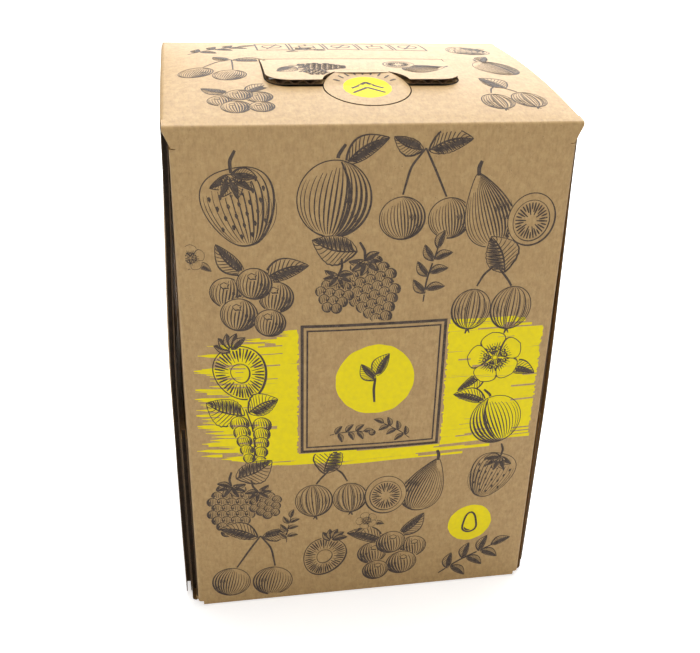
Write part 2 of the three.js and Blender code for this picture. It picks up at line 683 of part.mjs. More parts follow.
const group = new THREE.Group();
group.add(meshOf('carton', makeCarton(), MATERIALS.kraft));
group.add(meshOf('tap_flap', makeTapFlap(), MATERIALS.kraft));
group.add(meshOf('juice_bag', makeBag(), MATERIALS.film));
group.add(meshOf('spout_gland', makeGland(), MATERIALS.tapPlastic));
group.add(meshOf('tap_body', makeTapBody(), MATERIALS.tapPlastic));
group.add(meshOf('tap_lever', makeLever(), MATERIALS.leverPlastic));
group.add(meshOf('valve_stem', makeStem(), MATERIALS.tapPlastic));
group.add(meshOf('valve_seal', makeSeal(), MATERIALS.seal));

export default group;
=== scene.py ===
import math

import bpy
import numpy as np
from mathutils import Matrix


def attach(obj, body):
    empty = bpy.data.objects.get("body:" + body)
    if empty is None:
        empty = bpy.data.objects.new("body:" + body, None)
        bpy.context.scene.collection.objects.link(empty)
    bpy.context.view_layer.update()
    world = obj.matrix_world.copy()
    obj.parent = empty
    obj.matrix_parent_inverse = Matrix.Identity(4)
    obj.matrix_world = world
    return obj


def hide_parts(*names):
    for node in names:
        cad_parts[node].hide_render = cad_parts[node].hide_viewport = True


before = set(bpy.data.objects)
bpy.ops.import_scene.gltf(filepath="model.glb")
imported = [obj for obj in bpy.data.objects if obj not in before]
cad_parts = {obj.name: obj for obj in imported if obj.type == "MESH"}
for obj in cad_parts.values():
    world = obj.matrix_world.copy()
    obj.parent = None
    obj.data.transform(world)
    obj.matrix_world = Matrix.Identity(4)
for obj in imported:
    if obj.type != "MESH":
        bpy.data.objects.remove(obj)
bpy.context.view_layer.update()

# Everything below is in millimetres until a mesh is made
MM = 0.001
BODY = "carton_body"
FLAP_BODY = "flap"

# The box, as the frame has it
BOARD = 2.6
LINER = 0.38
MEDIUM = 0.3
FLUTE_PITCH = 6.5
OPEN_CELL_DEPTH = 8.0
DEPTH = 147.0
HEIGHT = 250.0
FRONT = -DEPTH / 2
BACK = DEPTH / 2
WALL_HALF = 82.4
EAR_HALF = 87.4
EAR_FOOT_HALF = 84.2
EAR_HEIGHT = 9.0
TOP_HALF = 86.0
BOTTOM_HALF = 86.0
FOLD = 1.6
FOLD_INSIDE = 0.4
TOP_DOME = 7.4
DOME_AT_SIDE = 0.4
WALL_BULGE = 5.0
SIDE_BULGE = 2.0
TOP_OUTSIDE = 87.9
LOW_OUTSIDE = 90.8
SET_BACK_TOP = 7.0
SET_BACK_LOW = 11.0
FLOOR_GAP = 1.0
BOTTOM_FLAP_OUTSIDE = 87.9
BOTTOM_FLAP_HEIGHT = 100.0
BOTTOM_SET_BACK = 5.0
DUST_OUTSIDE = 85.0
DUST_LENGTH = 62.0
GLUE_TAB_HEIGHT = 38.0

# The tap flap
FLAP_HALF = 43.0
FREE_EDGE = FRONT + 37.5
HINGE = FRONT + 78.5
FLAP_CORNER = 10.0
FLAP_LIFT = 2.8
FLAP_CUT = 0.5
HINGE_PLAY = 0.2
DISC_RADIUS = 18.8
DISC_Y = FRONT + 35.2
DISC_LIFT = 0.2
DISC_BRIDGE = 12.0
# Camera, solved from the carton's corners
CAMERA_PLACE = (-77.3, -469.6, 369.1)
CAMERA_TURN = (60.24, -2.6, -10.95)
CAMERA_LENS = 51.94
CAMERA_SENSOR = 36
CAMERA_SHIFT = (-0.0616, 0.0523)

# The bag and the well in it for the tap
BAG_HALF = (81.6, 67.0)
BAG_FOOT = 3.0
BAG_CORNER = 20.0
BAG_STEPS = 56
WELL_HALF = (34.0, 19.0)
WELL_CORNER = 12.0
WELL_Y = -16.0
WELL_FLOOR = 211.6

# The waves in the board die out this near a side fold and the flap's hinge
CALM_AT_FOLD = 10
CALM_AT_HINGE = 14

SHARP_ANGLE = 35
FLOOR_GLOW = 0.55
WORLD_FILL = 0.47
WHITE = (1, 1, 1, 1)
BLACK = (0, 0, 0, 1)


def clamp(value, low=0, high=1):
    return np.clip(value, low, high)


def hump(value, length):
    share = clamp(np.asarray(value, float) / length)
    return 4 * share * (1 - share)


def mix(start, end, share):
    return start + (end - start) * share


def xy(x, y):
    return np.column_stack([x, y])


def grid_of(x, y, z):
    """Points from coordinates that may be single values, rows, columns or whole grids."""
    return np.stack(np.broadcast_arrays(x, y, z), -1)


def full_turn(count):
    return np.linspace(0, 2 * math.pi, count, endpoint=False)


def down_turn(count):
    """Angles from a circle's top down its right side to its foot."""
    return np.linspace(math.pi / 2, -math.pi / 2, count)


def top_dome(x, y):
    across = 1 - clamp(np.abs(x) / TOP_OUTSIDE) ** 4
    return TOP_DOME * hump(np.asarray(y) - FRONT, DEPTH) * mix(DOME_AT_SIDE, 1, across)


def wall_bulge(x, z):
    return WALL_BULGE * hump(z, HEIGHT) * clamp(1 - (np.asarray(x) / WALL_HALF) ** 2)


def side_bulge(y, z):
    return SIDE_BULGE * hump(z, HEIGHT) * clamp(1 - (np.asarray(y) / BACK) ** 2)


# Slow, shallow waves that keep board from looking machined; the same at a point in every piece
def board_wave(a, b, phase=0.0):
    a = np.asarray(a, float)
    b = np.asarray(b, float)
    return (0.16 * np.sin(a / 23 + 1.7 + phase) * np.sin(b / 31 + 0.4 + phase)
            + 0.10 * np.sin(a / 11 + b / 17 + 2.3 * phase)
            + 0.05 * np.sin(a / 5.3 - b / 7.9 + phase))


# Meshes

def facing_out(points, quads):
    corners = points[quads]
    tetra = np.einsum("ij,ij->i", corners[:, 0], np.cross(corners[:, 1], corners[:, 2]))
    tetra += np.einsum("ij,ij->i", corners[:, 0], np.cross(corners[:, 2], corners[:, 3]))
    return quads if tetra.sum() > 0 else quads[:, ::-1]


def sheet(outside, inside, ring=False):
    """A closed board between two grids of points of shape (columns, rows, 3)."""
    columns, rows = outside.shape[:2]
    points = np.concatenate([outside.reshape(-1, 3), inside.reshape(-1, 3)])
    layer = columns * rows
    ids = np.arange(layer).reshape(columns, rows)
    following = np.roll(ids, -1, axis=1)
    if not ring:
        ids, following = ids[:, :-1], following[:, :-1]
    a, b, c, d = ids[:-1], ids[1:], following[1:], following[:-1]
    quads = [np.stack([a, b, c, d], -1).reshape(-1, 4),
             np.stack([a, d, c, b], -1).reshape(-1, 4) + layer]
    rims = [(ids[0], following[0]), (following[-1], ids[-1])]
    if not ring:
        full = np.arange(layer).reshape(columns, rows)
        rims += [(full[1:, 0], full[:-1, 0]), (full[:-1, -1], full[1:, -1])]
    for low, high in rims:
        quads.append(np.stack([low, high, high + layer, low + layer], -1))
    quads = np.concatenate(quads)
    return points, facing_out(points, quads)


def merged(parts):
    points, faces, start = [], [], 0
    for part_points, part_faces in parts:
        points.append(part_points)
        faces.append(part_faces + start)
        start += len(part_points)
    return np.concatenate(points), np.concatenate(faces)


def linked(name, data):
    made = bpy.data.objects.new(name, data)
    bpy.context.scene.collection.objects.link(made)
    return made


def smoothed(mesh):
    mesh.shade_smooth()
    mesh.set_sharp_from_angle(angle=math.radians(SHARP_ANGLE))


def solid_object(name, part, material, smooth=True):
    points, faces = part
    mesh = bpy.data.meshes.new(name)
    mesh.from_pydata((points * MM).tolist(), [], faces.tolist())
    mesh.validate()
    mesh.materials.append(material)
    if smooth:
        smoothed(mesh)
    return linked(name, mesh)


def cut_by(target, tools, operation="DIFFERENCE"):
    """target's mesh with each tool taken away, or kept only where the tool is."""
    for tool in tools:
        boolean = target.modifiers.new("cut", "BOOLEAN")
        boolean.operation = operation
        boolean.object = tool
        boolean.solver = "EXACT"
    bpy.context.view_layer.update()
    depsgraph = bpy.context.evaluated_depsgraph_get()
    mesh = bpy.data.meshes.new_from_object(target.evaluated_get(depsgraph))
    target.modifiers.clear()
    target.data = mesh
    smoothed(mesh)


def darken_cut_edges(made, is_cut):
    """The board's end grain, its own tone darkened further with painted shade of the open flutes and
    gaps, on the faces that is_cut picks by centre (mm) and normal.
    """
    made.data.materials.append(end_grain_and_shade)
    for polygon in made.data.polygons:
        if is_cut(polygon.center / MM, polygon.normal):
            polygon.material_index = 1


def remove(objects):
    for each in objects:
        bpy.data.objects.remove(each)


def keep(made, body, replaced=()):
    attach(made, body)
    if replaced:
        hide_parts(*replaced)


def keep_board(made, body=BODY, replaced=("carton",)):
    keep(made, body, replaced)


def keep_ink(name, part, ink, body):
    keep(solid_object(name, part, ink, False), body)


# Materials

def new_material(name):
    material = bpy.data.materials.new(name)
    material.use_nodes = True
    tree = material.node_tree
    return material, tree, tree.nodes["Principled BSDF"]


def feed(tree, target, inputs):
    """Gives inputs of a node their values, or links them to the sockets given."""
    for key, value in inputs.items():
        if isinstance(value, bpy.types.NodeSocket):
            tree.links.new(value, target.inputs[key])
        else:
            target.inputs[key].default_value = value


def add_node(tree, kind, inputs, **settings):
    made = tree.nodes.new("ShaderNode" + kind)
    for key, value in settings.items():
        setattr(made, key, value)
    feed(tree, made, inputs)
    return made.outputs


def srgb(red, green, blue):
    """Linear colour of an sRGB colour given in 0 to 255."""
    def linear(value):
        value /= 255
        return value / 12.92 if value <= 0.04045 else ((value + 0.055) / 1.055) ** 2.4
    return (linear(red), linear(green), linear(blue), 1)


def object_place(tree):
    return add_node(tree, "TexCoord", {})["Object"]


def noise(tree, source, scale, detail, stretch=(1, 1, 1), roughness=0.6):
    """A noise texture in object space, its pattern stretched along the axes."""
    place = add_node(tree, "Mapping", {"Scale": stretch, "Vector": source})["Vector"]
    return add_node(tree, "TexNoise", {"Scale": scale, "Detail": detail, "Roughness": roughness,
                                       "Vector": place})["Fac"]


def ramp(tree, source, stops):
    outputs = add_node(tree, "ValToRGB", {"Fac": source})
    elements = outputs["Color"].node.color_ramp.elements
    while len(elements) < len(stops):
        elements.new(0.5)
    for element, (place, color) in zip(elements, stops):
        element.position = place
        element.color = color
    return outputs["Color"]


def blend_color(tree, first, second, share, mode="MIX"):
    return add_node(tree, "Mix", {0: share, 6: first, 7: second},
                    data_type="RGBA", blend_type=mode)[2]


def bump(tree, height, strength, distance, before=None):
    inputs = {"Strength": strength, "Distance": distance, "Height": height}
    if before is not None:
        inputs["Normal"] = before
    return add_node(tree, "Bump", inputs)["Normal"]


def reckon(tree, operation, *values):
    return add_node(tree, "Math", dict(enumerate(values)), operation=operation)[0]


def kraft_material(name, dark, mid, light, flute_axis=0):
    """Brown liner paper: clouds, fibres, dark specks and the faint ridges of the flutes."""
    material, tree, shader = new_material(name)
    place = object_place(tree)
    clouds = noise(tree, place, 300, 6, roughness=0.75)
    base = ramp(tree, clouds, [(0.36, dark), (0.5, mid), (0.64, light)])
    fibre = noise(tree, place, 900, 3, (1, 0.35, 0.35), 0.7)
    fibre_color = ramp(tree, fibre, [(0.3, (0.62, 0.6, 0.57, 1)), (0.55, WHITE)])
    base = blend_color(tree, base, fibre_color, 0.42, "MULTIPLY")
    specks = ramp(tree, noise(tree, place, 1500, 2), [(0.7, BLACK), (0.75, (0.8, 0.8, 0.8, 1))])
    base = blend_color(tree, base, (0.12, 0.08, 0.045, 1), specks)
    along = add_node(tree, "SeparateXYZ", {0: place})[flute_axis]
    ridge = reckon(tree, "MULTIPLY", along, 2 * math.pi / (FLUTE_PITCH * MM))
    normal = bump(tree, reckon(tree, "SINE", ridge), 0.35, 0.00005)
    normal = bump(tree, noise(tree, place, 260, 4), 0.3, 0.0002, normal)
    normal = bump(tree, fibre, 0.25, 0.00006, normal)
    feed(tree, shader, {"Base Color": base, "Normal": normal, "Roughness": 0.6,
                        "Specular IOR Level": 0.5})
    return material


KRAFT_DARK = srgb(176, 142, 93)
KRAFT_MID = srgb(183, 149, 98)
KRAFT_LIGHT = srgb(191, 158, 107)
kraft = kraft_material("kraft_liner", KRAFT_DARK, KRAFT_MID, KRAFT_LIGHT)
side_kraft = kraft_material("kraft_liner_side", KRAFT_DARK, KRAFT_MID, KRAFT_LIGHT, 2)
# Cut edges of the board: the end grain's own brown, darkened further with painted shade of the open
# flutes and the gaps beside them
end_grain_and_shade = kraft_material("kraft_end_grain_and_painted_shade", srgb(66, 49, 29), srgb(78, 59, 36), srgb(94, 72, 46))
# Fluted paper: its own brown, darkened further with painted shade of the cells between the liners
medium_and_shade = kraft_material("kraft_medium_and_painted_shade", srgb(84, 62, 38), srgb(98, 74, 46), srgb(112, 86, 56))


def ink_material(name, color, thin, breaks):
    """Printed ink on rough board: a little uneven, with pinholes where the board shows through."""
    material, tree, shader = new_material(name)
    place = object_place(tree)
    base = ramp(tree, noise(tree, place, 420, 4), [(0.35, color), (0.68, thin)])
    grain = noise(tree, place, 2600, 2)
    holes = ramp(tree, grain, [(breaks, BLACK), (breaks + 0.06, WHITE)])
    base = blend_color(tree, base, KRAFT_MID, holes)
    feed(tree, shader, {"Base Color": base, "Normal": bump(tree, grain, 0.2, 0.00004),
                        "Roughness": 0.7, "Specular IOR Level": 0.3})
    return material


dark_ink = ink_material("dark_ink", srgb(66, 56, 50), srgb(92, 79, 68), 0.66)
yellow_ink = ink_material("yellow_ink", srgb(244, 223, 14), srgb(236, 215, 30), 0.72)


# The wrap: back, top, front and bottom panels in one strip

def spaced(start, end, step):
    count = max(1, int(round(abs(end - start) / step)))
    return np.linspace(start, end, count + 1)


def wrap_stops():
    """Rows of outside y and z, inside y and z, normal y and z, and half width, round the box."""
    stops = []
    backward, forward, up, down = np.array([[1, 0], [-1, 0], [0, 1], [0, -1]], float)

    def flat(y, z, normal, half):
        outside = np.array([y, z])
        stops.append((*outside, *(outside - BOARD * normal), *normal, half))

    def fold(corner, first, second, half, steps=6):
        for angle in np.linspace(0, math.pi / 2, steps + 1):
            turn = math.cos(angle) * first + math.sin(angle) * second
            both = first + second
            outside = corner - FOLD * both + FOLD * turn
            inside = corner - (BOARD + FOLD_INSIDE) * both + FOLD_INSIDE * turn
            stops.append((*outside, *inside, 0, 0, half))

    foot = HEIGHT - EAR_HEIGHT
    heights = spaced(4, foot - 0.4, 4.0)
    for z in heights:
        flat(BACK, z, backward, WALL_HALF)
    flat(BACK, foot, backward, EAR_FOOT_HALF)
    fold(np.array([BACK, HEIGHT]), backward, up, EAR_HALF)
    flap_end = BACK - SET_BACK_TOP
    flat(flap_end + 0.3, HEIGHT, up, EAR_HALF)
    for y in spaced(flap_end - 0.3, -flap_end + 0.3, 3.0):
        flat(y, HEIGHT, up, TOP_HALF)
    flat(-flap_end - 0.3, HEIGHT, up, EAR_HALF)
    fold(np.array([FRONT, HEIGHT]), up, forward, EAR_HALF)
    flat(FRONT, foot, forward, EAR_FOOT_HALF)
    for z in heights[::-1]:
        flat(FRONT, z, forward, WALL_HALF)
    fold(np.array([FRONT, 0]), forward, down, WALL_HALF)
    flat(FRONT + BOTTOM_SET_BACK, 0, down, WALL_HALF)
    for y in spaced(FRONT + BOTTOM_SET_BACK + 0.5, BACK - BOTTOM_SET_BACK - 0.5, 20.0):
        flat(y, 0, down, BOTTOM_HALF)
    flat(BACK - BOTTOM_SET_BACK, 0, down, WALL_HALF)
    fold(np.array([BACK, 0]), down, backward, WALL_HALF)
    return np.array(stops)


def front_push(x, z):
    """How far the front or back panel stands out at a point."""
    calm = clamp((WALL_HALF - np.abs(x)) / CALM_AT_FOLD)
    return wall_bulge(x, z) + board_wave(x, z) * hump(z, HEIGHT) * calm


def top_push(x, y):
    """How far the top panel stands up at a point."""
    y = np.asarray(y)
    calm = clamp(np.abs(y - HINGE) / CALM_AT_HINGE)
    return top_dome(x, y) + board_wave(x, y, 0.3) * hump(y - FRONT, DEPTH) * calm


def wrap_points(stops, across, depth):
    y_out, z_out, y_in, z_in, ny, nz, half = (stops[None, :, k] for k in range(7))
    x = across[:, None] * half
    share = depth / BOARD
    push = np.where(nz > 0.5, top_push(x, y_out), 0)
    push = push + np.where(np.abs(ny) > 0.5, front_push(x, z_out), 0)
    return grid_of(x, mix(y_out, y_in, share) + push * ny, mix(z_out, z_in, share) + push * nz)


FOLD_ARC = FOLD * math.pi / 2


def folded(run, length, depth):
    """A flap folded at a corner, seen edge on: how far it stands from the outer plane and from the
    fold's plane at a run along it, with its length measured from the corner."""
    angle = clamp(run / FOLD_ARC) * math.pi / 2
    down = clamp((run - FOLD_ARC) / (length - FOLD))
    flat = np.minimum(run, 0)
    centre = BOARD + FOLD_INSIDE
    share = depth / BOARD
    u = mix(FOLD * (np.sin(angle) - 1), FOLD_INSIDE * np.sin(angle) - centre, share) + flat
    v_out = FOLD * (np.cos(angle) - 1) - down * (length - FOLD)
    v_in = FOLD_INSIDE * np.cos(angle) - centre - down * (length - centre)
    return u, mix(v_out, v_in, share)


def cutter(name, outline, low=HEIGHT - 20, high=HEIGHT + 20):
    """An upright prism of an outline, a list of (x, y), for cutting."""
    outline = np.asarray(outline, float)
    count = len(outline)
    points = np.concatenate([np.column_stack([outline, np.full(count, z)]) for z in (low, high)])
    sides = [[k, (k + 1) % count, count + (k + 1) % count, count + k] for k in range(count)]
    caps = [list(range(count))[::-1], list(range(count, 2 * count))]
    mesh = bpy.data.meshes.new(name)
    mesh.from_pydata((points * MM).tolist(), [], sides + caps)
    return linked(name, mesh)


def disc_outline(grow, steps=96):
    angle = full_turn(steps)
    radius = DISC_RADIUS + grow
    return xy(radius * np.cos(angle), DISC_Y + radius * np.sin(angle))


def flap_outline(grow, back, steps=10):
    half = FLAP_HALF + grow
    front = FREE_EDGE - grow
    points = []
    for side, start in ((1, -math.pi / 2), (-1, math.pi)):
        centre = side * (half - FLAP_CORNER)
        for k in range(steps + 1):
            angle = start + math.pi / 2 * k / steps
            points.append((centre + FLAP_CORNER * math.cos(angle),
                           front + FLAP_CORNER + FLAP_CORNER * math.sin(angle)))
        if side == 1:
            points += [(half, back), (-half, back)]
    return points


def make_wrap():
    stops = wrap_stops()
    edge = 1 - np.array([0, 0.4, 1.0, 2.0, 4.0]) / WALL_HALF
    across = np.concatenate([-edge, spaced(-0.93, 0.93, 0.043), edge[::-1]])
    outside, inside = (wrap_points(stops, across, depth) for depth in (0, BOARD))
    made = solid_object("wrap", sheet(outside, inside, ring=True), kraft)
    y0, y1 = BACK - BOARD, BACK + 5
    tab_fold = [(-100, y0), (100, y0), (100, y1), (-100, y1)]
    tools = [cutter("port_panel", flap_outline(FLAP_CUT, HINGE + FLAP_CUT)),
             cutter("port_disc", disc_outline(FLAP_CUT)),
             cutter("tab_fold", tab_fold, -5, FLOOR_GAP)]
    cut_by(made, tools)
    remove(tools)
    darken_cut_edges(made, lambda place, normal: abs(normal.z) < 0.3 and place.z > HEIGHT
                     and abs(place.x) < FLAP_HALF + 2 and abs(normal.y) + abs(normal.x) > 0.9)
    keep_board(made)


make_wrap()


# Flaps of two liners over a core, with the fluted paper between them

WAVE_HEIGHT = BOARD / 2 - LINER - MEDIUM / 2
WAVE_STEP = FLUTE_PITCH / 12
STRIP_START = 0.15
STRIP_REACH = 0.5


def wave_strip(along, depth_points, surface):
    """The fluted paper, a sine strip between the liners. surface(s, d, depth) gives a point at
    s along the edge, d in from it and depth under the outside."""
    s = along[:, None]
    d = np.array(depth_points)[None, :]
    middle = BOARD / 2 + WAVE_HEIGHT * np.sin(2 * math.pi * s / FLUTE_PITCH)
    slope = WAVE_HEIGHT * 2 * math.pi / FLUTE_PITCH * np.cos(2 * math.pi * s / FLUTE_PITCH)
    half = MEDIUM / 2 * np.sqrt(1 + slope ** 2)
    return sheet(surface(s, d, middle - half), surface(s, d, middle + half))


def make_side_flap(name, surface, length, set_back, step):
    """A flap over a side: two liners, a core that stops short of the upright edges, and strips of
    fluted paper in it. surface takes the run from the fold and the share from front to back."""
    end = FOLD_ARC + length - FOLD
    rows = np.concatenate([[-0.5], spaced(0, FOLD_ARC, 0.6), spaced(FOLD_ARC, end, step)[1:]])
    width = 2 * (BACK - set_back)
    inset = OPEN_CELL_DEPTH / width
    whole = spaced(0, 1, step / width)
    core = spaced(inset, 1 - inset, step / width)
    layers = []
    for columns, top, low in ((whole, 0, LINER), (whole, BOARD - LINER, BOARD),
                              (core, LINER, BOARD - LINER)):
        grid = (rows[:, None], columns[None, :])
        layers.append(sheet(surface(*grid, top), surface(*grid, low)))
    made = solid_object(name, merged(layers), side_kraft)
    darken_cut_edges(made, lambda place, normal: abs(normal.y) > 0.7)
    keep_board(made)
    along = spaced(FOLD_ARC + 1, end - 0.3, WAVE_STEP)
    strips = ((whole[0] + STRIP_START, core[0] + STRIP_REACH),
              (core[-1] - STRIP_REACH, whole[-1] - STRIP_START))
    waves = merged([wave_strip(along, strip, surface) for strip in strips])
    keep(solid_object(name + "_flutes", waves, medium_and_shade), BODY)


def outer_flap_outside(z):
    share = clamp((HEIGHT - z) / (HEIGHT - BOTTOM_FLAP_HEIGHT))
    return mix(TOP_OUTSIDE, LOW_OUTSIDE, share * share * (3 - 2 * share))


def outer_flap_surface(side):
    def surface(run, share, depth):
        u, v = folded(run, HEIGHT - FLOOR_GAP, depth)
        level = HEIGHT + v
        edge = FRONT + mix(SET_BACK_LOW, SET_BACK_TOP, clamp(level / HEIGHT))
        y = edge * (1 - 2 * share)
        x = outer_flap_outside(level) + u + side_bulge(y, level)
        x = x + 0.7 * board_wave(y, level, side) * hump(level, HEIGHT)
        slack = clamp((level - (HEIGHT - 60)) / 50) ** 2
        z = level + top_push(clamp(x, -TOP_OUTSIDE, TOP_OUTSIDE), y) * slack
        return grid_of(side * x, y, z)

    return surface


def bottom_flap_surface(side):
    def surface(run, share, depth):
        u, v = folded(run, BOTTOM_FLAP_HEIGHT, depth)
        y = (FRONT + BOTTOM_SET_BACK) * (1 - 2 * share)
        return grid_of(side * (BOTTOM_FLAP_OUTSIDE + u + side_bulge(y, -v)), y, -v)

    return surface


def make_dust_flap(side, end, name):
    """A flap folded in from the front (end -1) or the back (end 1) panel."""
    low, high = BOARD + 0.4, HEIGHT - BOARD - 1
    notch = HEIGHT - EAR_HEIGHT - 0.6
    start = WALL_HALF - 0.5 - DUST_OUTSIDE + FOLD
    run = np.concatenate([[start], spaced(0, FOLD_ARC, 0.6), [FOLD_ARC + 0.4, FOLD_ARC + 0.9],
                          spaced(FOLD_ARC + 5, FOLD_ARC + DUST_LENGTH - FOLD, 5.0)])[:, None]
    z = mix(low, np.where(run < FOLD_ARC + 0.6, notch, high), spaced(0, 1, 0.02)[None, :])

    def points(depth):
        u, v = folded(run, DUST_LENGTH, depth)
        y = BACK + v
        x = DUST_OUTSIDE + u + side_bulge(y, z) * np.where(run > FOLD_ARC, 1, 0)
        return grid_of(side * x, end * y, z)

    keep_board(solid_object(name, sheet(points(0), points(BOARD)), kraft))


def make_glue_tab():
    x = spaced(-WALL_HALF + 2, WALL_HALF - 2, 6.0)[:, None]
    z = spaced(BOARD - 0.5, GLUE_TAB_HEIGHT, 6.0)[None, :]
    outside, inside = (grid_of(x, BACK - BOARD + 0.3 + wall_bulge(x, z) - depth, z)
                       for depth in (0, BOARD + 0.3))
    keep_board(solid_object("glue_tab", sheet(outside, inside), kraft))


for side, word in ((-1, "left"), (1, "right")):
    make_side_flap(f"outer_flap_{word}", outer_flap_surface(side),
                   HEIGHT - FLOOR_GAP, SET_BACK_TOP, 4.0)
    make_side_flap(f"bottom_flap_{word}", bottom_flap_surface(side),
                   BOTTOM_FLAP_HEIGHT, BOTTOM_SET_BACK, 6.0)
    make_dust_flap(side, -1, f"dust_flap_front_{word}")
    make_dust_flap(side, 1, f"dust_flap_back_{word}")
make_glue_tab()


# The tap flap and its thumb disc

def flap_lift(x, y):
    return FLAP_LIFT * clamp((HINGE - y) / (HINGE - FREE_EDGE))


def disc_lift(x, y):
    """The disc lies in the panel at its front and rises with the flap where they are joined."""
    off = np.abs(x)
    arc = DISC_Y + np.sqrt(clamp(DISC_RADIUS ** 2 - off ** 2, 0, None))
    attached = clamp((DISC_RADIUS - off) / (DISC_RADIUS - DISC_BRIDGE))
    share = clamp((y - FREE_EDGE) / np.maximum(arc - FREE_EDGE, 1))
    return mix(DISC_LIFT, flap_lift(x, y), share * attached)


def lifted(x, y, lift, depth):
    return grid_of(x, y, HEIGHT + top_push(x, y) + lift(x, y) - depth)


def lifted_sheet(lift, top, low, half, front, back, step=1.6):
    x = spaced(-half, half, step)[:, None]
    y = spaced(front, back, step)[None, :]
    return sheet(lifted(x, y, lift, top), lifted(x, y, lift, low))


def trimmed(name, part, inside, hole=None):
    """A sheet kept only inside one outline and outside the hole."""
    made = solid_object(name, part, kraft)
    tools = [cutter("keeper", inside)]
    cut_by(made, tools, "INTERSECT")
    if hole is not None:
        tools.append(cutter("taken", hole))
        cut_by(made, tools[1:])
    remove(tools)
    return made


def joined(name, objects):
    """One object of several meshes, kept as separate closed bodies in it."""
    points, faces, start = [], [], 0
    for each in objects:
        mesh = each.data
        points += [tuple(v.co) for v in mesh.vertices]
        faces += [[start + k for k in polygon.vertices] for polygon in mesh.polygons]
        start += len(mesh.vertices)
    mesh = bpy.data.meshes.new(name)
    mesh.from_pydata(points, [], faces)
    mesh.materials.append(kraft)
    smoothed(mesh)
    remove(objects)
    return linked(name, mesh)


def make_tap_flap():
    outline = flap_outline(0, HINGE - HINGE_PLAY)
    layers = []
    for name, top, low, front in (("flap_top_liner", 0, LINER, FREE_EDGE - 1),
                                  ("flap_low_liner", BOARD - LINER, BOARD, FREE_EDGE + 1.2),
                                  ("flap_core", LINER, BOARD - LINER, FREE_EDGE + OPEN_CELL_DEPTH)):
        part = lifted_sheet(flap_lift, top, low, FLAP_HALF + 1, front, HINGE + 1)
        layers.append(trimmed(name, part, outline, disc_outline(FLAP_CUT)))
    arc = DISC_Y + DISC_RADIUS
    disc = lifted_sheet(disc_lift, 0, BOARD, DISC_RADIUS + 1, DISC_Y - DISC_RADIUS - 1, arc + 1)
    bridge = lifted_sheet(flap_lift, 0.02, BOARD - 0.02, DISC_BRIDGE, arc - 5, arc + 2)
    made = joined("flap_board", layers + [trimmed("flap_disc", disc, disc_outline(0)),
                                          trimmed("flap_bridge", bridge, disc_outline(3))])
    darken_cut_edges(made, lambda place, normal: abs(normal.z) < 0.5)
    keep_board(made, FLAP_BODY, ("tap_flap",))

    def surface(s, d, depth):
        corner = clamp((np.abs(s) - (FLAP_HALF - FLAP_CORNER)) / FLAP_CORNER)
        set_back = FLAP_CORNER * (1 - np.sqrt(clamp(1 - corner ** 2)))
        return lifted(s, FREE_EDGE + set_back + d, flap_lift, depth)

    waves = []
    for side in (-1, 1):
        along = spaced(side * (DISC_RADIUS + 1.5), side * (FLAP_HALF - 2.2), WAVE_STEP)
        waves.append(wave_strip(along, (0.15, OPEN_CELL_DEPTH - 1), surface))
    keep(solid_object("flap_flutes", merged(waves), medium_and_shade), FLAP_BODY)


make_tap_flap()


# Finishes of the bag, gland and tap

def plastic(name, color, roughness):
    material, tree, shader = new_material(name)
    grain = noise(tree, object_place(tree), 700, 3)
    shade = tuple(0.93 * c for c in color[:3]) + (1,)
    feed(tree, shader, {"Base Color": ramp(tree, grain, [(0.3, shade), (0.7, color)]),
                        "Normal": bump(tree, grain, 0.15, 0.00004), "Roughness": roughness})
    return material


def film_material():
    """Grey film with soft folds that catch the light."""
    material, tree, shader = new_material("bag_film")
    place = object_place(tree)
    folds = noise(tree, place, 55, 3, (1, 0.45, 1))
    tone = ramp(tree, folds, [(0.35, srgb(150, 156, 160)), (0.65, srgb(186, 191, 194))])
    normal = bump(tree, folds, 0.8, 0.003)
    normal = bump(tree, noise(tree, place, 240, 2), 0.5, 0.0006, normal)
    feed(tree, shader, {"Base Color": tone, "Normal": normal, "Roughness": 0.22, "Metallic": 0.35})
    return material


film = film_material()
for node, name, color, roughness in (("spout_gland", "white_plastic", (232, 231, 224), 0.38),
                                     ("tap_body", "tap_plastic", (236, 235, 228), 0.34),
                                     ("tap_lever", "lever_plastic", (186, 46, 38), 0.32),
                                     ("valve_stem", "stem_plastic", (228, 227, 220), 0.4),
                                     ("valve_seal", "seal_rubber", (48, 48, 48), 0.75)):
    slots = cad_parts[node].data.materials
    slots.clear()
    slots.append(plastic(name, srgb(*color), roughness))


# Print: flat drawings in panel coordinates (mm). A drawing is a list of shapes, each an outline
# and its strokes; a later shape hides what lies under it.

def pencil(points, width, start=0.15, end=0.15):
    """A stroke of points and widths, thinner at its ends."""
    points = np.asarray(points, float)
    share = np.linspace(0, 1, len(points))
    swell = np.sin(math.pi * clamp(share, 0.02, 0.98)) ** 0.7
    return points, width * (mix(start, end, share) + (1 - mix(start, end, share)) * swell)


def arc_points(cx, cy, rx, ry, first, last, count=20):
    angle = np.radians(np.linspace(first, last, count))
    return xy(cx + rx * np.cos(angle), cy + ry * np.sin(angle))


def toward(degrees):
    return np.array([math.cos(math.radians(degrees)), math.sin(math.radians(degrees))])


def curve(*knots, count=16):
    """A smooth curve through the knots, or near them."""
    knots = np.asarray(knots, float)
    share = np.linspace(0, 1, count)
    at = np.linspace(0, 1, len(knots))
    rough = np.column_stack([np.interp(share, at, knots[:, k]) for k in (0, 1)])
    for _ in range(3):
        rough[1:-1] = (rough[:-2] + 2 * rough[1:-1] + rough[2:]) / 4
    return rough


def contour(outline, width=0.5):
    """The outline as a stroke, heavier at the lower right."""
    closed = np.concatenate([outline, outline[:1]])
    tangent = np.gradient(closed, axis=0)
    normal = xy(tangent[:, 1], -tangent[:, 0])
    normal /= np.maximum(np.linalg.norm(normal, axis=1, keepdims=True), 1e-6)
    shadow = clamp(normal @ np.array([0.75, -0.66]))
    return closed, width * (0.75 + 0.9 * shadow)


